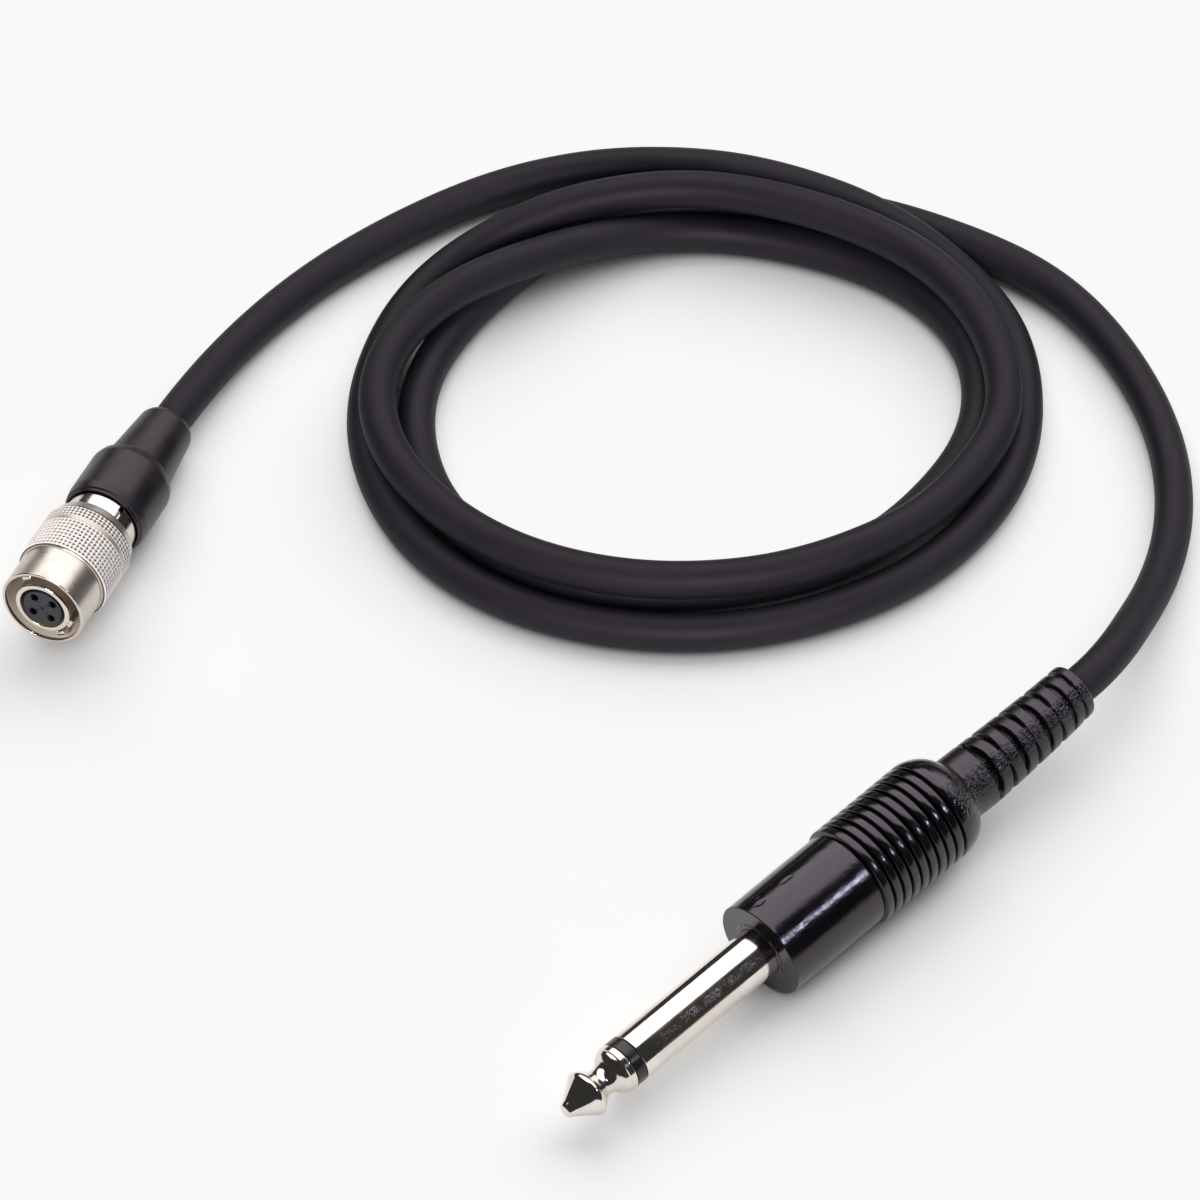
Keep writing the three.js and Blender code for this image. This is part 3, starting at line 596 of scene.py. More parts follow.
# ---- the cord -----------------------------------------------------------
CORD_D = 4.8
CORD_ROUTE = [
    (-49.47, 48.05, 4.75), (-48.44, 50.41, 4.44), (-47.36, 52.87, 4.12),
    (-45.00, 57.62, 3.55), (-42.36, 62.28, 3.08), (-39.46, 66.71, 2.73),
    (-36.18, 71.02, 2.51), (-32.49, 75.17, 2.42), (-28.45, 79.07, 2.40),
    (-24.14, 82.66, 2.40), (-19.61, 85.98, 2.40), (-14.90, 89.02, 2.40),
    (-9.98, 91.72, 2.42), (-4.80, 93.87, 2.57), (0.61, 95.24, 2.99), (6.14, 95.73, 3.75),
    (11.65, 95.33, 4.75), (17.05, 94.27, 5.84), (22.41, 92.84, 6.74), (27.76, 91.23, 7.10),
    (33.07, 89.45, 6.95), (38.27, 87.39, 6.51), (43.23, 84.93, 5.74), (47.88, 82.04, 4.62),
    (52.09, 78.57, 3.47), (55.67, 74.38, 2.71), (58.22, 69.45, 2.43), (59.58, 64.05, 2.40),
    (59.99, 58.48, 2.40), (59.61, 52.92, 2.40), (58.36, 47.49, 2.40), (56.18, 42.36, 2.40),
    (53.16, 37.68, 2.40), (49.47, 33.50, 2.40), (45.21, 29.91, 2.40), (40.49, 26.96, 2.40),
    (35.44, 24.59, 2.40), (30.17, 22.76, 2.40), (24.73, 21.53, 2.40), (19.19, 20.96, 2.40),
    (13.61, 21.02, 2.40), (8.07, 21.67, 2.40), (2.65, 22.95, 2.40), (-2.59, 24.87, 2.40),
    (-7.51, 27.47, 2.40), (-11.98, 30.80, 2.40), (-15.84, 34.82, 2.40),
    (-18.90, 39.47, 2.40), (-21.10, 44.59, 2.40), (-22.44, 50.00, 2.40),
    (-22.82, 55.56, 2.40), (-22.25, 61.11, 2.40), (-20.86, 66.51, 2.40),
    (-18.76, 71.68, 2.42), (-15.80, 76.39, 2.65), (-11.88, 80.28, 3.32),
    (-7.27, 83.20, 4.44), (-2.28, 85.32, 5.78), (2.98, 86.87, 6.84), (8.43, 87.95, 7.43),
    (13.98, 88.52, 7.78), (19.54, 88.32, 8.07), (25.03, 87.32, 8.32), (30.38, 85.75, 8.47),
    (35.63, 83.83, 8.40), (40.72, 81.55, 8.08), (45.52, 78.75, 7.60), (49.76, 75.15, 7.14),
    (53.14, 70.74, 6.83), (55.55, 65.71, 6.64), (56.97, 60.31, 6.46), (57.21, 54.76, 6.28),
    (55.88, 49.37, 6.08), (53.20, 44.49, 5.94), (49.83, 40.02, 5.94), (45.94, 36.02, 6.16),
    (41.48, 32.67, 6.51), (36.60, 29.97, 6.71), (31.41, 27.89, 6.76), (26.01, 26.47, 6.79),
    (20.48, 25.71, 6.84), (14.89, 25.53, 6.88), (9.33, 26.00, 6.90), (3.86, 27.17, 6.90),
    (-1.39, 29.07, 6.86), (-6.32, 31.71, 6.79), (-10.80, 35.05, 6.71),
    (-14.73, 39.02, 6.65), (-18.01, 43.54, 6.65), (-20.31, 48.62, 6.75),
    (-21.28, 54.10, 6.79), (-20.72, 59.63, 6.73), (-18.59, 64.76, 6.70),
    (-15.22, 69.19, 6.89), (-10.99, 72.82, 7.13), (-6.26, 75.79, 7.05),
    (-1.43, 78.53, 6.49), (3.41, 81.14, 5.55), (8.37, 83.43, 4.41), (13.57, 85.12, 3.38),
    (19.03, 85.82, 2.69), (24.58, 85.49, 2.42), (30.03, 84.37, 2.40), (35.35, 82.70, 2.40),
    (40.45, 80.48, 2.40), (45.15, 77.51, 2.40), (49.20, 73.69, 2.40), (52.27, 69.06, 2.40),
    (54.08, 63.82, 2.40), (54.50, 58.28, 2.40), (53.53, 52.81, 2.40), (51.34, 47.70, 2.40),
    (48.28, 43.05, 2.40), (44.69, 38.78, 2.40), (40.59, 35.01, 2.40), (35.91, 32.00, 2.40),
    (30.78, 29.84, 2.40), (25.40, 28.37, 2.40), (19.89, 27.49, 2.40), (14.33, 27.22, 2.40),
    (8.77, 27.64, 2.40), (3.32, 28.81, 2.40), (-1.87, 30.82, 2.40), (-6.60, 33.74, 2.40),
    (-10.61, 37.59, 2.40), (-13.65, 42.25, 2.40), (-15.58, 47.46, 2.40),
    (-16.44, 52.97, 2.40), (-16.20, 58.52, 2.40), (-14.76, 63.89, 2.40),
    (-12.30, 68.89, 2.40), (-9.21, 73.53, 2.40), (-5.65, 77.82, 2.40),
    (-1.61, 81.67, 2.40), (2.83, 85.04, 2.39), (7.67, 87.82, 2.40), (12.88, 89.81, 2.40),
    (18.35, 90.93, 2.40), (23.93, 91.31, 2.39), (29.53, 91.13, 2.40), (35.09, 90.43, 2.40),
    (40.56, 89.21, 2.40), (45.88, 87.44, 2.40), (51.05, 85.23, 2.40), (56.05, 82.68, 2.40),
    (60.78, 79.65, 2.40), (65.00, 75.96, 2.40), (68.59, 71.64, 2.40), (71.58, 66.89, 2.40),
    (74.07, 61.85, 2.40), (76.07, 56.60, 2.40), (77.46, 51.16, 2.40), (78.15, 45.59, 2.40),
    (78.11, 39.98, 2.41), (77.31, 34.43, 2.62), (75.87, 29.05, 3.32), (74.99, 26.44, 3.89),
    (74.03, 23.89, 4.57), (73.00, 21.39, 5.34), (71.92, 18.90, 6.14), (70.79, 16.40, 6.89),
    (69.51, 13.94, 7.53), (68.03, 11.58, 7.98), (66.30, 9.38, 8.17), (64.13, 7.16, 8.08),
    (62.57, 5.47, 7.95), (60.85, 3.66, 7.82),
]


def natural_spline(points, spacing):
    """Points a fixed distance apart on a cubic spline through the given ones."""
    p = np.array(points, dtype=float)
    t = np.concatenate([[0.0], np.cumsum(np.linalg.norm(np.diff(p, axis=0), axis=1))])
    n = len(p)
    h = np.diff(t)
    a = np.zeros((n, n))
    b = np.zeros((n, 3))
    a[0, 0] = a[-1, -1] = 1.0
    for i in range(1, n - 1):
        a[i, i - 1], a[i, i], a[i, i + 1] = h[i - 1], 2 * (h[i - 1] + h[i]), h[i]
        b[i] = 6 * ((p[i + 1] - p[i]) / h[i] - (p[i] - p[i - 1]) / h[i - 1])
    m = np.linalg.solve(a, b)
    count = int(round(t[-1] / spacing))
    u = np.linspace(0.0, t[-1], count + 1)
    k = np.clip(np.searchsorted(t, u, side="right") - 1, 0, n - 2)
    d = (u - t[k])[:, None]
    hk = h[k][:, None]
    return (
        m[k] * (hk - d) ** 3 / (6 * hk)
        + m[k + 1] * d**3 / (6 * hk)
        + (p[k] / hk - m[k] * hk / 6) * (hk - d)
        + (p[k + 1] / hk - m[k + 1] * hk / 6) * d
    )


def cord_mesh(name, line, diameter, sides, material):
    """A round tube along the line, carried along without twist."""
    n = len(line)
    tangent = np.gradient(line, axis=0)
    tangent /= np.linalg.norm(tangent, axis=1)[:, None]
    normal = np.cross(tangent[0], (0.0, 0.0, 1.0))
    normal /= np.linalg.norm(normal)
    angle = np.arange(sides) * (2 * math.pi / sides)
    vertices = np.zeros((n, sides, 3))
    local = np.zeros((n, sides, 3))
    run = 0.0
    for i in range(n):
        if i:
            normal = normal - tangent[i] * float(normal @ tangent[i])
            normal /= np.linalg.norm(normal)
            run += float(np.linalg.norm(line[i] - line[i - 1]))
        other = np.cross(tangent[i], normal)
        ring = np.cos(angle)[:, None] * normal + np.sin(angle)[:, None] * other
        # the jacket is extruded, and its radius wanders by a few hundredths of a millimetre
        radius = diameter / 2 + 0.012 * math.sin(run * 0.21) + 0.010 * math.sin(run * 0.073 + 1.3)
        vertices[i] = line[i] + ring * radius
        local[i] = np.stack([np.full(sides, run), radius * np.cos(angle), radius * np.sin(angle)], axis=-1)
    flat = vertices.reshape(-1, 3)
    flat[:, 2] = np.maximum(flat[:, 2], 0.02)
    faces = grid_faces(n, sides)
    faces.append(tuple(range(sides)))
    faces.append(tuple(reversed([(n - 1) * sides + j for j in range(sides)])))
    obj = make_object(name, flat, faces, [material], local.reshape(-1, 3))
    outward(obj)
    return obj


cord_line = natural_spline(CORD_ROUTE, 1.3)
cord = cord_mesh("cord", cord_line, CORD_D, 32, CORD_JACKET)
piece(cord, "cable", "cord_jacket", "cord_coil", "cord_lead_connector", "cord_lead_plug")

# ---- phone plug ---------------------------------------------------------
# Tip: rounded nub, cone, round shoulder, waist, and the flange in front of the insulator.
tip_profile = [(0.0, 0.0)]
tip_profile += spline_profile([(0.0, 0.02), (0.012, 0.62), (0.09, 0.84), (0.34, 1.0), (0.75, 1.16)], 6)
tip_profile += [(2.9, 2.66)]
tip_profile += spline_profile(
    [(3.05, 2.78), (3.25, 2.93), (3.50, 3.06), (3.72, 3.08), (3.95, 3.02), (4.3, 2.80), (4.9, 2.28), (5.45, 1.95), (6.05, 1.82), (6.55, 1.90), (7.0, 2.18), (7.35, 2.56), (7.7, 2.85), (8.0, 2.97), (8.22, 3.0)],
    6,
)
tip_profile += fillet([(8.22, 3.0, 0), (8.25, 3.01, 0), (8.36, 3.14, 0.03), (9.15, 3.15, 0.06), (9.15, 1.0, 0.0)])[1:]
tip_profile += [(9.15, 1.0), (40.6, 1.0), (40.6, 0.0)]
tip = round_piece("tip_piece", PLUG, tip_profile, [NICKEL_MIRROR], 128)
piece(tip, "cable", "nickel_mirror", "plug_tip")

ring_outline = fillet([(9.27, 1.25, 0), (9.27, 3.12, 0.05), (10.7, 3.12, 0.05), (10.7, 1.25, 0)], 3)
ring = round_piece("insulator_ring", PLUG, ring_outline, [RING_PLASTIC], 128, closed=True)
piece(ring, "cable", "ring_plastic", "tip_insulator_ring")

sleeve_outline = fillet(
    [(20.0, 2.35, 0), (10.82, 2.35, 0), (10.82, 3.175, 0.10), (35.0, 3.175, 0), (35.0, 4.5, 0), (36.6, 4.5, 0), (36.6, 2.35, 0), (20.0, 2.35, 0)], 4
)[:-1]
sleeve = round_piece("sleeve_piece", PLUG, sleeve_outline, [NICKEL_MIRROR], 160, closed=True)
piece(sleeve, "cable", "nickel_mirror", "plug_sleeve")

# Grip
SLOTS = [69.7, 72.15, 74.45, 76.7, 78.93, 81.15, 83.35, 85.35]
SLOT_WIDTHS = [1.0, 0.7, 0.8, 0.65, 0.7, 0.65, 0.65, 0.6]
RIB_START, RIB_PITCH, RIB_COUNT = 47.4, 1.5, 10
BEND_S = [0, 62, 66, 70, 75, 79, 83, 86.9, 95]
BEND_D = [0, 0, 0.14, 0.26, 0.22, 0.16, 0.055, -0.16, -0.6]


def grip_radius(s):
    if s < RIB_START:
        return 6.38 - 0.03 * math.cos((s - 33.0) / 14.4 * math.pi * 2) * 0.5
    u = (s - RIB_START) / RIB_PITCH
    if u < RIB_COUNT - 0.45:
        t = u - math.floor(u)
        rise = float(smooth_step(0.0, 0.21, t))
        fall = 1.0 - float(smooth_step(0.79, 1.0, t))
        return 6.20 + (0.63 - 0.09 * (2.0 * t - 1.0) ** 2) * rise * fall
    pts = [(61.7, 6.83), (62.1, 6.80), (62.6, 6.67), (63.4, 6.40), (64.3, 5.88), (65.0, 5.18), (65.35, 4.66), (65.6, 4.36), (65.95, 4.27), (66.6, 4.25), (69.0, 4.25), (86.4, 3.615)]
    return float(np.interp(s, [p[0] for p in shoulder], [p[1] for p in shoulder]))


shoulder = spline_profile(
    [(61.6, 6.83), (62.1, 6.79), (62.6, 6.67), (63.4, 6.40), (64.3, 5.88), (65.0, 5.18), (65.35, 4.66), (65.6, 4.38), (65.95, 4.27), (66.6, 4.25), (69.0, 4.25)], 8
) + [(86.9, 3.60)]

# stations: close together at the ribs, the shoulder and the slots' edges
stations = [32.95, 33.3] + list(np.arange(34.0, 47.2, 0.45)) + [47.25, 47.34]
stations += list(np.arange(47.40, 61.5, 0.05)) + list(np.arange(61.5, 66.2, 0.12)) + list(np.arange(66.3, 69.0, 0.2))
edge_steps = [-0.30, -0.22, -0.15, -0.09, -0.045, 0.0, 0.045, 0.09, 0.16]
for c, w in zip(SLOTS, SLOT_WIDTHS):
    stations += [c - w / 2 + e for e in edge_steps] + [c + w / 2 - e for e in edge_steps] + [c]
stations += list(np.arange(68.8, 86.2, 0.22)) + [86.3]
stations = sorted(stations)
keep = [stations[0]]
for s in stations[1:]:
    if s - keep[-1] > 0.028:
        keep.append(s)
outer = [(s, grip_radius(s)) for s in keep]
face_part = fillet([(33.6, 3.22, 0), (32.50, 3.22, 0.06), (32.50, 3.78, 0.12), (32.62, 3.95, 0.05), (32.60, 6.38, 0.26), (32.95, 6.38, 0)], 5)[:-1]
tail_part = fillet([(86.3, grip_radius(86.3), 0), (86.9, 3.58, 0.30), (86.9, 2.46, 0.12), (80.0, 2.46, 0)], 5)[1:]
grip_profile = face_part + outer + tail_part + [(62.5, 2.7), (62.5, 3.85), (57.0, 3.85), (57.0, 5.45), (33.9, 5.45), (33.9, 3.4)]


def lumps(s, angle, scale, seed):
    """A fixed bumpy field on the surface, from -1 to 1."""
    out = np.zeros(np.broadcast(s, angle).shape)
    rows, cols = out.shape
    sv = np.broadcast_to(s, out.shape)
    av = np.broadcast_to(angle, out.shape)
    for i in range(rows):
        for j in range(cols):
            v = Vector((sv[i, j] * scale, 5.0 * math.cos(av[i, j]) * scale + seed, 5.0 * math.sin(av[i, j]) * scale))
            out[i, j] = noise.noise(v)
    return out


def turn_between(angle, centre):
    """Smallest turn from an angle to a centre, in degrees."""
    return (np.degrees(angle) - centre + 180.0) % 360.0 - 180.0


def grip_shape(s, angle, r):
    out = r.copy()
    on_outer = (r > 3.5) & (s > 66.0) & ~((s < 66.5) & (r < 4.0))
    for k, (c, w) in enumerate(zip(SLOTS, SLOT_WIDTHS)):
        first = 33.0 if k % 2 == 0 else 123.0
        d = np.minimum(np.abs(turn_between(angle, first)), np.abs(turn_between(angle, first + 180.0)))
        bridge = 1.0 - smooth_step(14.0, 19.0, d)
        # a slot is widest midway between its bridges and thins towards them
        across = np.abs(s - c) - w / 2 * (0.42 + 0.66 * smooth_step(14.0, 62.0, d))
        cut = 1.0 - smooth_step(-0.05, 0.06, across)
        lip = np.exp(-np.square(np.maximum(across, 0.0) / 0.13))
        depth = cut * (1.0 - bridge) * (r - 3.12) + lip * (1.0 - cut) * 0.11 * (1.0 - bridge)
        # bridges sit a little below the blocks
        depth = depth + cut * bridge * 0.16
        out = np.where(on_outer, out - depth, out)
    # what is left of the gate on the shoulder and neck, and the drag marks round it
    if GATE is not None:
        out = out + GATE
    return out


def grip_bend(s):
    d = np.interp(s, BEND_S, BEND_D)
    a = math.radians(209)
    return d * math.cos(a), d * math.sin(a)


GRIP_COLUMNS = 224
gs = np.array([p[0] for p in grip_profile])[:, None]
gr = np.array([p[1] for p in grip_profile])[:, None]
ga = (np.arange(GRIP_COLUMNS) * (2 * math.pi / GRIP_COLUMNS) - math.pi / 2)[None, :]
outside = gr > 3.55
marks = lumps(gs, ga, 1.7, 3.0)
fine_marks = lumps(gs, ga, 4.6, 11.0)
near_gate = np.exp(-np.square((gs - 65.4) / 2.9)) * np.exp(-np.square(turn_between(ga, 128.0) / 30.0))
along_bridge = smooth_step(67.5, 69.5, gs) * np.exp(-np.square(turn_between(ga, 123.0) / 15.0))
GATE = np.where(outside & (gs > 61.8), near_gate * (0.12 * marks + 0.10 * fine_marks) + along_bridge * (0.06 * marks + 0.06 * fine_marks), 0.0)
# two small nicks in the barrel, and the moulding's faint waviness
for s0, a0, w, h in ((34.57, 73.6, 0.34, 0.20), (39.16, 71.7, 0.30, 0.17), (34.9, 66.0, 0.22, 0.08), (36.4, 121.0, 0.25, -0.05)):
    ds = (gs - s0) / w
    da = turn_between(ga, a0) * math.pi / 180 * 6.38 / w
    d2 = ds * ds + da * da
    GATE = GATE + np.where(outside & (gs < 47), -h * np.exp(-d2) + 0.5 * h * np.exp(-np.square(np.sqrt(d2) - 1.5) / 0.25), 0.0)
GATE = GATE + np.where(outside & (gs > 32.8) & (gs < 62.0), 0.012 * marks, 0.0)
# the collar round the sleeve has an uneven edge
collar = (gr > 3.5) & (gr < 4.1) & (gs < 32.7)
GATE = GATE + np.where(collar, 0.11 * lumps(gs * 0.0, ga, 0.9, 21.0), 0.0)

grip = round_piece("grip_moulding", PLUG, grip_profile, [GRIP_PVC], GRIP_COLUMNS, shape=grip_shape, bend=grip_bend, closed=True)
piece(grip, "cable", "grip_pvc", "plug_grip")

# ---- 4-pin connector ----------------------------------------------------
TEETH = 66
KNURL_PITCH = 0.58


def knurl_band(s0, s1, radius):
    """Stations over a knurled band, eight to each tooth."""
    count = max(1, int(round((s1 - s0) / KNURL_PITCH)))
    n = count * 8
    return [(s0 + (s1 - s0) * i / n, radius) for i in range(n + 1)], count


band_a, count_a = knurl_band(5.62, 10.30, 6.0)
band_b, count_b = knurl_band(11.14, 12.60, 5.95)
coupling_profile = fillet(
    [(0.6, 5.12, 0), (0.44, 5.12, 0), (0.38, 5.23, 0.02), (0.17, 5.23, 0.02), (0.11, 5.12, 0.02), (0.0, 5.12, 0.04), (0.0, 5.50, 0.13), (5.32, 5.50, 0.04), (5.53, 5.96, 0.04), (5.62, 6.0, 0)], 4
)[:-1]
coupling_profile += band_a
coupling_profile += fillet([(10.30, 6.0, 0), (10.44, 5.86, 0.04), (11.02, 5.86, 0.04), (11.14, 5.95, 0)], 3)[1:-1]
coupling_profile += band_b
coupling_profile += fillet(
    [(12.60, 5.95, 0), (12.80, 5.70, 0.05), (14.10, 5.42, 0.08), (14.30, 5.25, 0.06), (14.30, 4.95, 0.04), (9.65, 4.95, 0), (9.65, 4.2, 0), (8.70, 4.2, 0.05), (8.70, 5.12, 0), (1.0, 5.12, 0)], 4
)[1:]


def knurl_shape(s, angle, r):
    out = r.copy()
    for s0, s1, radius, count, depth in ((5.62, 10.30, 6.0, count_a, 0.23), (11.14, 12.60, 5.95, count_b, 0.21)):
        u = (s - s0) / (s1 - s0) * count + 0.5
        v = (angle + math.pi / 2) / (2 * math.pi) * TEETH
        fu, fv = np.abs(u - np.round(u)), np.abs(v - np.round(v))
        pit = np.exp(-(np.square(fu / 0.27) + np.square(fv / 0.27)))
        line = 0.36 * (np.exp(-np.square(fu / 0.17)) + np.exp(-np.square(fv / 0.17)))
        high = 1.0 - np.minimum(0.68 * pit + line, 1.0)
        inside_band = (s >= s0 - 1e-6) & (s <= s1 + 1e-6) & (r > 5.9)
        out = np.where(inside_band, radius - depth * (1.0 - high), out)
    return out


def coupling_row(s, r):
    if s < 0.12 and r > 5.08:
        return 2
    # the groove inside the rim is painted near black: painted shade
    if 0.12 < s < 0.46 and r < 5.3:
        return 3
    # the mouth's inner wall takes the lighter copy of the nickel: painted light
    return 1 if (r < 5.16 and s < 14.0) else 0


coupling = round_piece(
    "coupling_piece",
    CONN,
    coupling_profile,
    [NICKEL_SATIN, NICKEL_PAINTED_LIT, NICKEL_POLISH, NICKEL_PAINTED_GROOVE_SHADE],
    TEETH * 8,
    shape=knurl_shape,
    inside=coupling_row,
    closed=True,
)
piece(coupling, "coupling", "nickel_satin", "coupling_sleeve")

shell_profile = fillet(
    [(6.0, 3.03, 0), (-0.05, 3.03, 0.06), (-0.05, 3.60, 0.14), (0.25, 3.70, 0.1), (12.6, 3.70, 0.1), (12.8, 3.35, 0), (17.0, 3.35, 0), (17.0, 2.75, 0), (9.85, 2.75, 0), (9.85, 3.03, 0), (6.0, 3.03, 0)], 5
)[:-1]
shell = round_piece(
    "shell_piece", CONN, shell_profile, [NICKEL_MIRROR, NICKEL_SHADOW], 160, inside=lambda s, r: 1 if (s > 0.9 and r > 3.6) or (r < 3.1 and s > 0.3) else 0, closed=True
)
piece(shell, "cable", "nickel_mirror", "plug_shell")
key = sector("shell_key", CONN, [(0.3, 3.62), (0.3, 4.10), (0.42, 4.2), (5.3, 4.2), (5.3, 3.62)], 202 - 9.5, 202 + 9.5, 8, [NICKEL_MIRROR])
bevel(key, 0.00006)
piece(key, "cable", "nickel_mirror")

# the band takes the lighter copy of the nickel: painted light
lock_band = round_piece(
    "lock_band", CONN, fillet([(7.0, 4.15, 0), (6.35, 4.15, 0.05), (6.35, 4.8, 0.1), (8.25, 4.8, 0.1), (8.25, 4.15, 0.05), (7.0, 4.15, 0)], 3)[:-1], [NICKEL_PAINTED_LIT], 96, closed=True
)
piece(lock_band, "cable", "nickel_mirror", "lock_ring")
CLAWS = []
for k, centre in enumerate((58.0, 238.0)):
    claw = sector(
        "lock_claw_%d" % (k + 1),
        CONN,
        [(0.50, 4.10), (0.36, 4.35), (0.42, 4.66), (0.66, 4.92), (1.05, 4.92), (1.40, 4.60), (6.5, 4.58), (6.5, 4.10)],
        centre - 8.5,
        centre + 8.5,
        10,
        [NICKEL_MIRROR],
    )
    bevel(claw, 0.00016, 3)
    CLAWS.append(claw)
    piece(claw, "cable", "nickel_mirror")

# Contact insert: a disc with four holes, each with a small chamfer.
insert_profile = fillet([(0.05, 0.0, 0), (0.05, 2.6, 0.10), (1.2, 2.6, 0.0), (1.2, 2.93, 0.0), (8.5, 2.93, 0.0), (8.5, 0.0, 0)], 4)
insert = round_piece("insert_piece", CONN, insert_profile, [INSERT_PLASTIC], 128)


def cutter(name, f, y, z, profile, columns=28):
    g = (f[0] + f[2] * y + f[3] * z, f[1], f[2], f[3])
    return round_piece(name, g, profile, [INSERT_PLASTIC], columns)


CONTACT_PLACES = []
for k in range(4):
    a = math.radians(48.5 + 90 * k)
    CONTACT_PLACES.append((1.72 * math.cos(a), 1.72 * math.sin(a)))
cutters = [
    cutter("cut_%d" % k, CONN, y, z, [(-0.3, 0.0), (-0.3, 0.86), (0.06, 0.56), (0.22, 0.47), (0.5, 0.46), (0.5, 0.8), (9.0, 0.8), (9.0, 0.0)])
    for k, (y, z) in enumerate(CONTACT_PLACES)
]
# a small plain index dimple between the contacts, and the sprue mark in the middle
cutters.append(cutter("cut_mark", CONN, 0.0, 0.0, [(-0.3, 0.0), (-0.3, 0.30), (0.10, 0.30), (0.14, 0.24), (0.14, 0.0)], 24))
for obj_cut in cutters:
    modifier = insert.modifiers.new("hole", "BOOLEAN")
    modifier.operation = "DIFFERENCE"
    modifier.solver = "EXACT"
    modifier.object = obj_cut
bpy.context.view_layer.update()
evaluated = insert.evaluated_get(bpy.context.evaluated_depsgraph_get())
cut_mesh = bpy.data.meshes.new_from_object(evaluated)
insert.modifiers.clear()
insert.data = cut_mesh
cut_mesh.set_sharp_from_angle(angle=math.radians(32))
for obj_cut in cutters:
    bpy.data.objects.remove(obj_cut)
piece(insert, "cable", "insert_plastic", "contact_insert")

# Small raised pips beside the contacts, in place of any marking.
for k, (y, z) in enumerate(CONTACT_PLACES):
    pip_frame = (CONN[0] + CONN[2] * y * 0.50 + CONN[3] * z * 0.50, CONN[1], CONN[2], CONN[3])
    pip = round_piece(
        "insert_pip_%d" % (k + 1), pip_frame, [(0.10, 0.0)][:0] + [(0.055, 0.13), (0.02, 0.125), (-0.01, 0.10), (-0.02, 0.05), (-0.022, 0.0)], [INSERT_PLASTIC], 16
    )
    piece(pip, "cable", "insert_plastic")

# Rear body: a polished collar with an axial slot.
def rear_shape(s, angle, r):
    across = np.abs(np.radians(turn_between(angle, 127.0))) * 4.7
    cut = (1.0 - smooth_step(0.24, 0.30, across)) * smooth_step(14.55, 14.62, s)
    return np.where((r > 4.5) & (s < 17.15), r - 0.42 * cut, r)


rear_profile = fillet(
    [(20.0, 3.6, 0), (13.05, 3.6, 0), (13.05, 4.5, 0.03), (13.2, 4.7, 0.05), (14.6, 4.7, 0), (17.1, 4.7, 0.03), (17.2, 4.3, 0), (17.9, 4.3, 0.03), (18.0, 4.0, 0), (24.4, 4.0, 0), (24.4, 3.6, 0), (20.0, 3.6, 0)], 3
)[:-1]
rear = round_piece("rear_body_piece", CONN, rear_profile, [NICKEL_POLISH], 600, shape=rear_shape, closed=True)
rear.data.set_sharp_from_angle(angle=math.radians(35))
piece(rear, "cable", "nickel_satin", "rear_body")

boot_profile = fillet(
    [
        (18.4, 4.6, 0),
        (17.6, 4.6, 0),
        (17.6, 4.85, 0),
        (16.8, 4.85, 0.04),
        (16.8, 5.04, 0.08),
        (17.16, 5.10, 0.05),
        (17.26, 5.30, 0.06),
        (18.3, 5.48, 1.2),
        (24.7, 5.48, 1.2),
        (25.7, 5.20, 0.5),
        (26.20, 4.72, 0.25),
        (26.42, 4.42, 0.10),
        (34.85, 3.60, 0.5),
        (35.45, 3.36, 0.3),
        (35.7, 2.98, 0.2),
        (35.7, 2.46, 0.15),
        (30.0, 2.46, 0),
        (24.8, 2.7, 0),
        (24.8, 4.3, 0),
        (18.4, 4.3, 0),
    ],
    6,
)
boot_profile = refine(boot_profile, 0.6)
boot = round_piece("boot_piece", CONN, boot_profile, [BOOT_RUBBER], 160, closed=True)
piece(boot, "cable", "boot_rubber", "boot")

# ---- floor, light -------------------------------------------------------
floor_mesh = bpy.data.meshes.new("floor")
floor_mesh.from_pydata([(-3, -3, 0), (3, -3, 0), (3, 3, 0), (-3, 3, 0)], [], [(0, 1, 2, 3)])
floor = bpy.data.objects.new("floor", floor_mesh)
bpy.context.scene.collection.objects.link(floor)
g = Graph("floor_paint")
# the floor glows evenly, and the glow fades where parts crowd it: a painted contact shadow in the crevices
painted_shade_ao = g.new("ShaderNodeAmbientOcclusion", samples=8)
painted_shade_ao.inputs["Distance"].default_value = 0.009
floor_mesh.materials.append(
    g.finish(
        g.mix(g.range(g.noise(g.place(), 40.0, 3.0), 0.3, 0.7, 0.0, 1.0), (0.83, 0.83, 0.83), (0.85, 0.85, 0.85)),
        0.75,
        Specular_IOR_Level=0.2,
        Emission_Color=(1.0, 1.0, 1.0, 1.0),
        Emission_Strength=g.range(painted_shade_ao.outputs["AO"], 0.2, 0.6, 0.0, 0.42, True),
    )
)

world = bpy.data.worlds.new("studio")
bpy.context.scene.world = world
world.use_nodes = True
wt = world.node_tree
wt.nodes.clear()


def w_new(kind, **values):
    node = wt.nodes.new(kind)
    for key, value in values.items():
        setattr(node, key, value)
    return node


def w_range(value, a, b, low, high):
    node = w_new("ShaderNodeMapRange", interpolation_type="SMOOTHSTEP")
    wt.links.new(value, node.inputs["Value"])
    for name, v in (("From Min", a), ("From Max", b), ("To Min", low), ("To Max", high)):
        node.inputs[name].default_value = v
    return node.outputs["Result"]


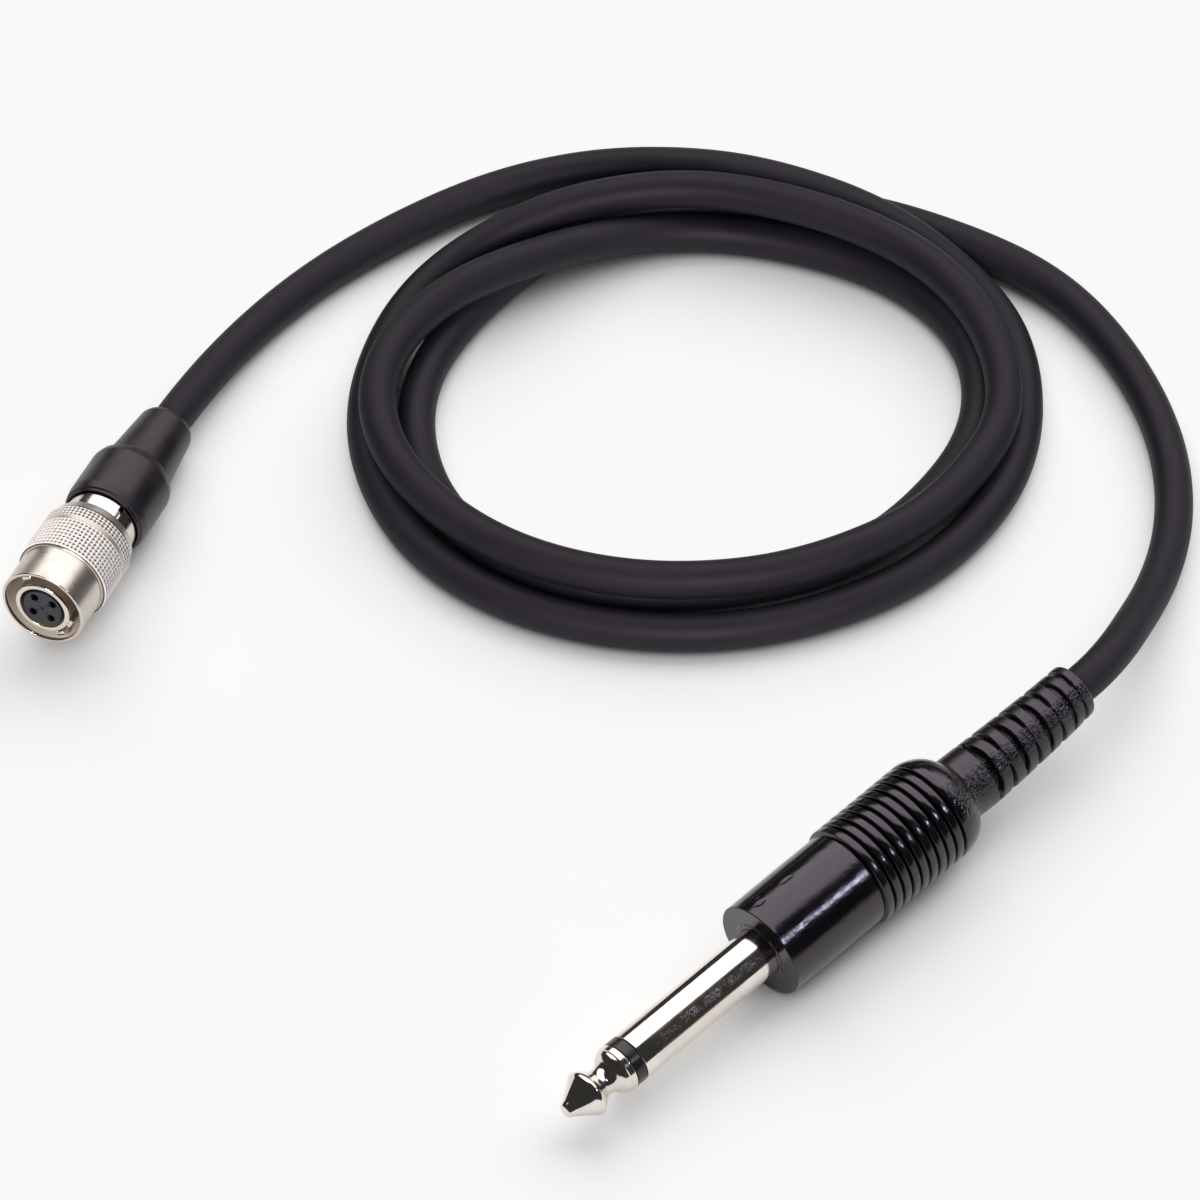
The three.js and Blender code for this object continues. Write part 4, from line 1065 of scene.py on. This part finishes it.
direction = w_new("ShaderNodeSeparateXYZ")
wt.links.new(w_new("ShaderNodeTexCoord").outputs["Generated"], direction.inputs[0])
back = w_range(direction.outputs["Y"], 0.11, 0.22, 0.0, 1.0)
high = w_range(direction.outputs["Z"], 0.38, 0.45, 0.0, 1.0)
left = w_range(direction.outputs["X"], -0.66, -0.46, 0.0, 1.0)
right = w_range(direction.outputs["X"], 0.74, 0.85, 1.0, 0.0)
box = back
for edge in (high, left, right):
    product = w_new("ShaderNodeMath", operation="MULTIPLY")
    wt.links.new(box, product.inputs[0])
    wt.links.new(edge, product.inputs[1])
    box = product.outputs[0]
level = w_range(box, 0.0, 1.0, 0.035, 2.2)
soft = w_new("ShaderNodeBackground")
soft.inputs["Color"].default_value = (1.0, 0.985, 0.965, 1.0)
wt.links.new(level, soft.inputs["Strength"])
pale = w_new("ShaderNodeBackground")
pale.inputs["Color"].default_value = (0.93, 0.93, 0.93, 1.0)
pale.inputs["Strength"].default_value = 1.0
ray = w_new("ShaderNodeLightPath")
mixer = w_new("ShaderNodeMixShader")
wt.links.new(ray.outputs["Is Camera Ray"], mixer.inputs["Fac"])
wt.links.new(soft.outputs[0], mixer.inputs[1])
wt.links.new(pale.outputs[0], mixer.inputs[2])
wt.links.new(mixer.outputs[0], w_new("ShaderNodeOutputWorld").inputs["Surface"])


def lamp(name, direction, distance, size, power, colour, target, lit):
    data = bpy.data.lights.new(name, "AREA")
    data.shape = "DISK"
    data.size = size
    data.energy = power
    data.color = colour
    obj = bpy.data.objects.new(name, data)
    d = Vector(direction).normalized()
    obj.location = Vector(target) + d * distance
    obj.rotation_euler = d.to_track_quat("Z", "Y").to_euler()
    bpy.context.scene.collection.objects.link(obj)
    receivers = bpy.data.collections.new(name + "_lit")
    for other in lit:
        receivers.objects.link(other)
    obj.light_linking.receiver_collection = receivers


# The small lamp gives the blacks their sharp glint. The fill lights the connector's open mouth, and
# the broad lamp lights the near side of the rubber.
lamp("flash", (0.732, -0.159, 0.674), 1.6, 0.075, 2.4, (0.78, 0.86, 1.0), (0.01, 0.02, 0.0), [cord, grip, boot, ring, tip, coupling, insert])
lamp("broad", (0.05, -0.80, 0.60), 1.2, 0.7, 12.0, (1.0, 0.97, 1.0), (0.01, 0.02, 0.0), [cord, boot])
lamp("fill", (-0.36, -0.78, 0.51), 0.5, 0.14, 4.2, (1.0, 0.97, 0.94), metres(CONN[0]), [coupling, shell, lock_band] + CLAWS)

bpy.context.scene.view_settings.view_transform = "Standard"
bpy.context.scene.view_settings.look = "None"
bpy.context.scene.view_settings.exposure = 0.0
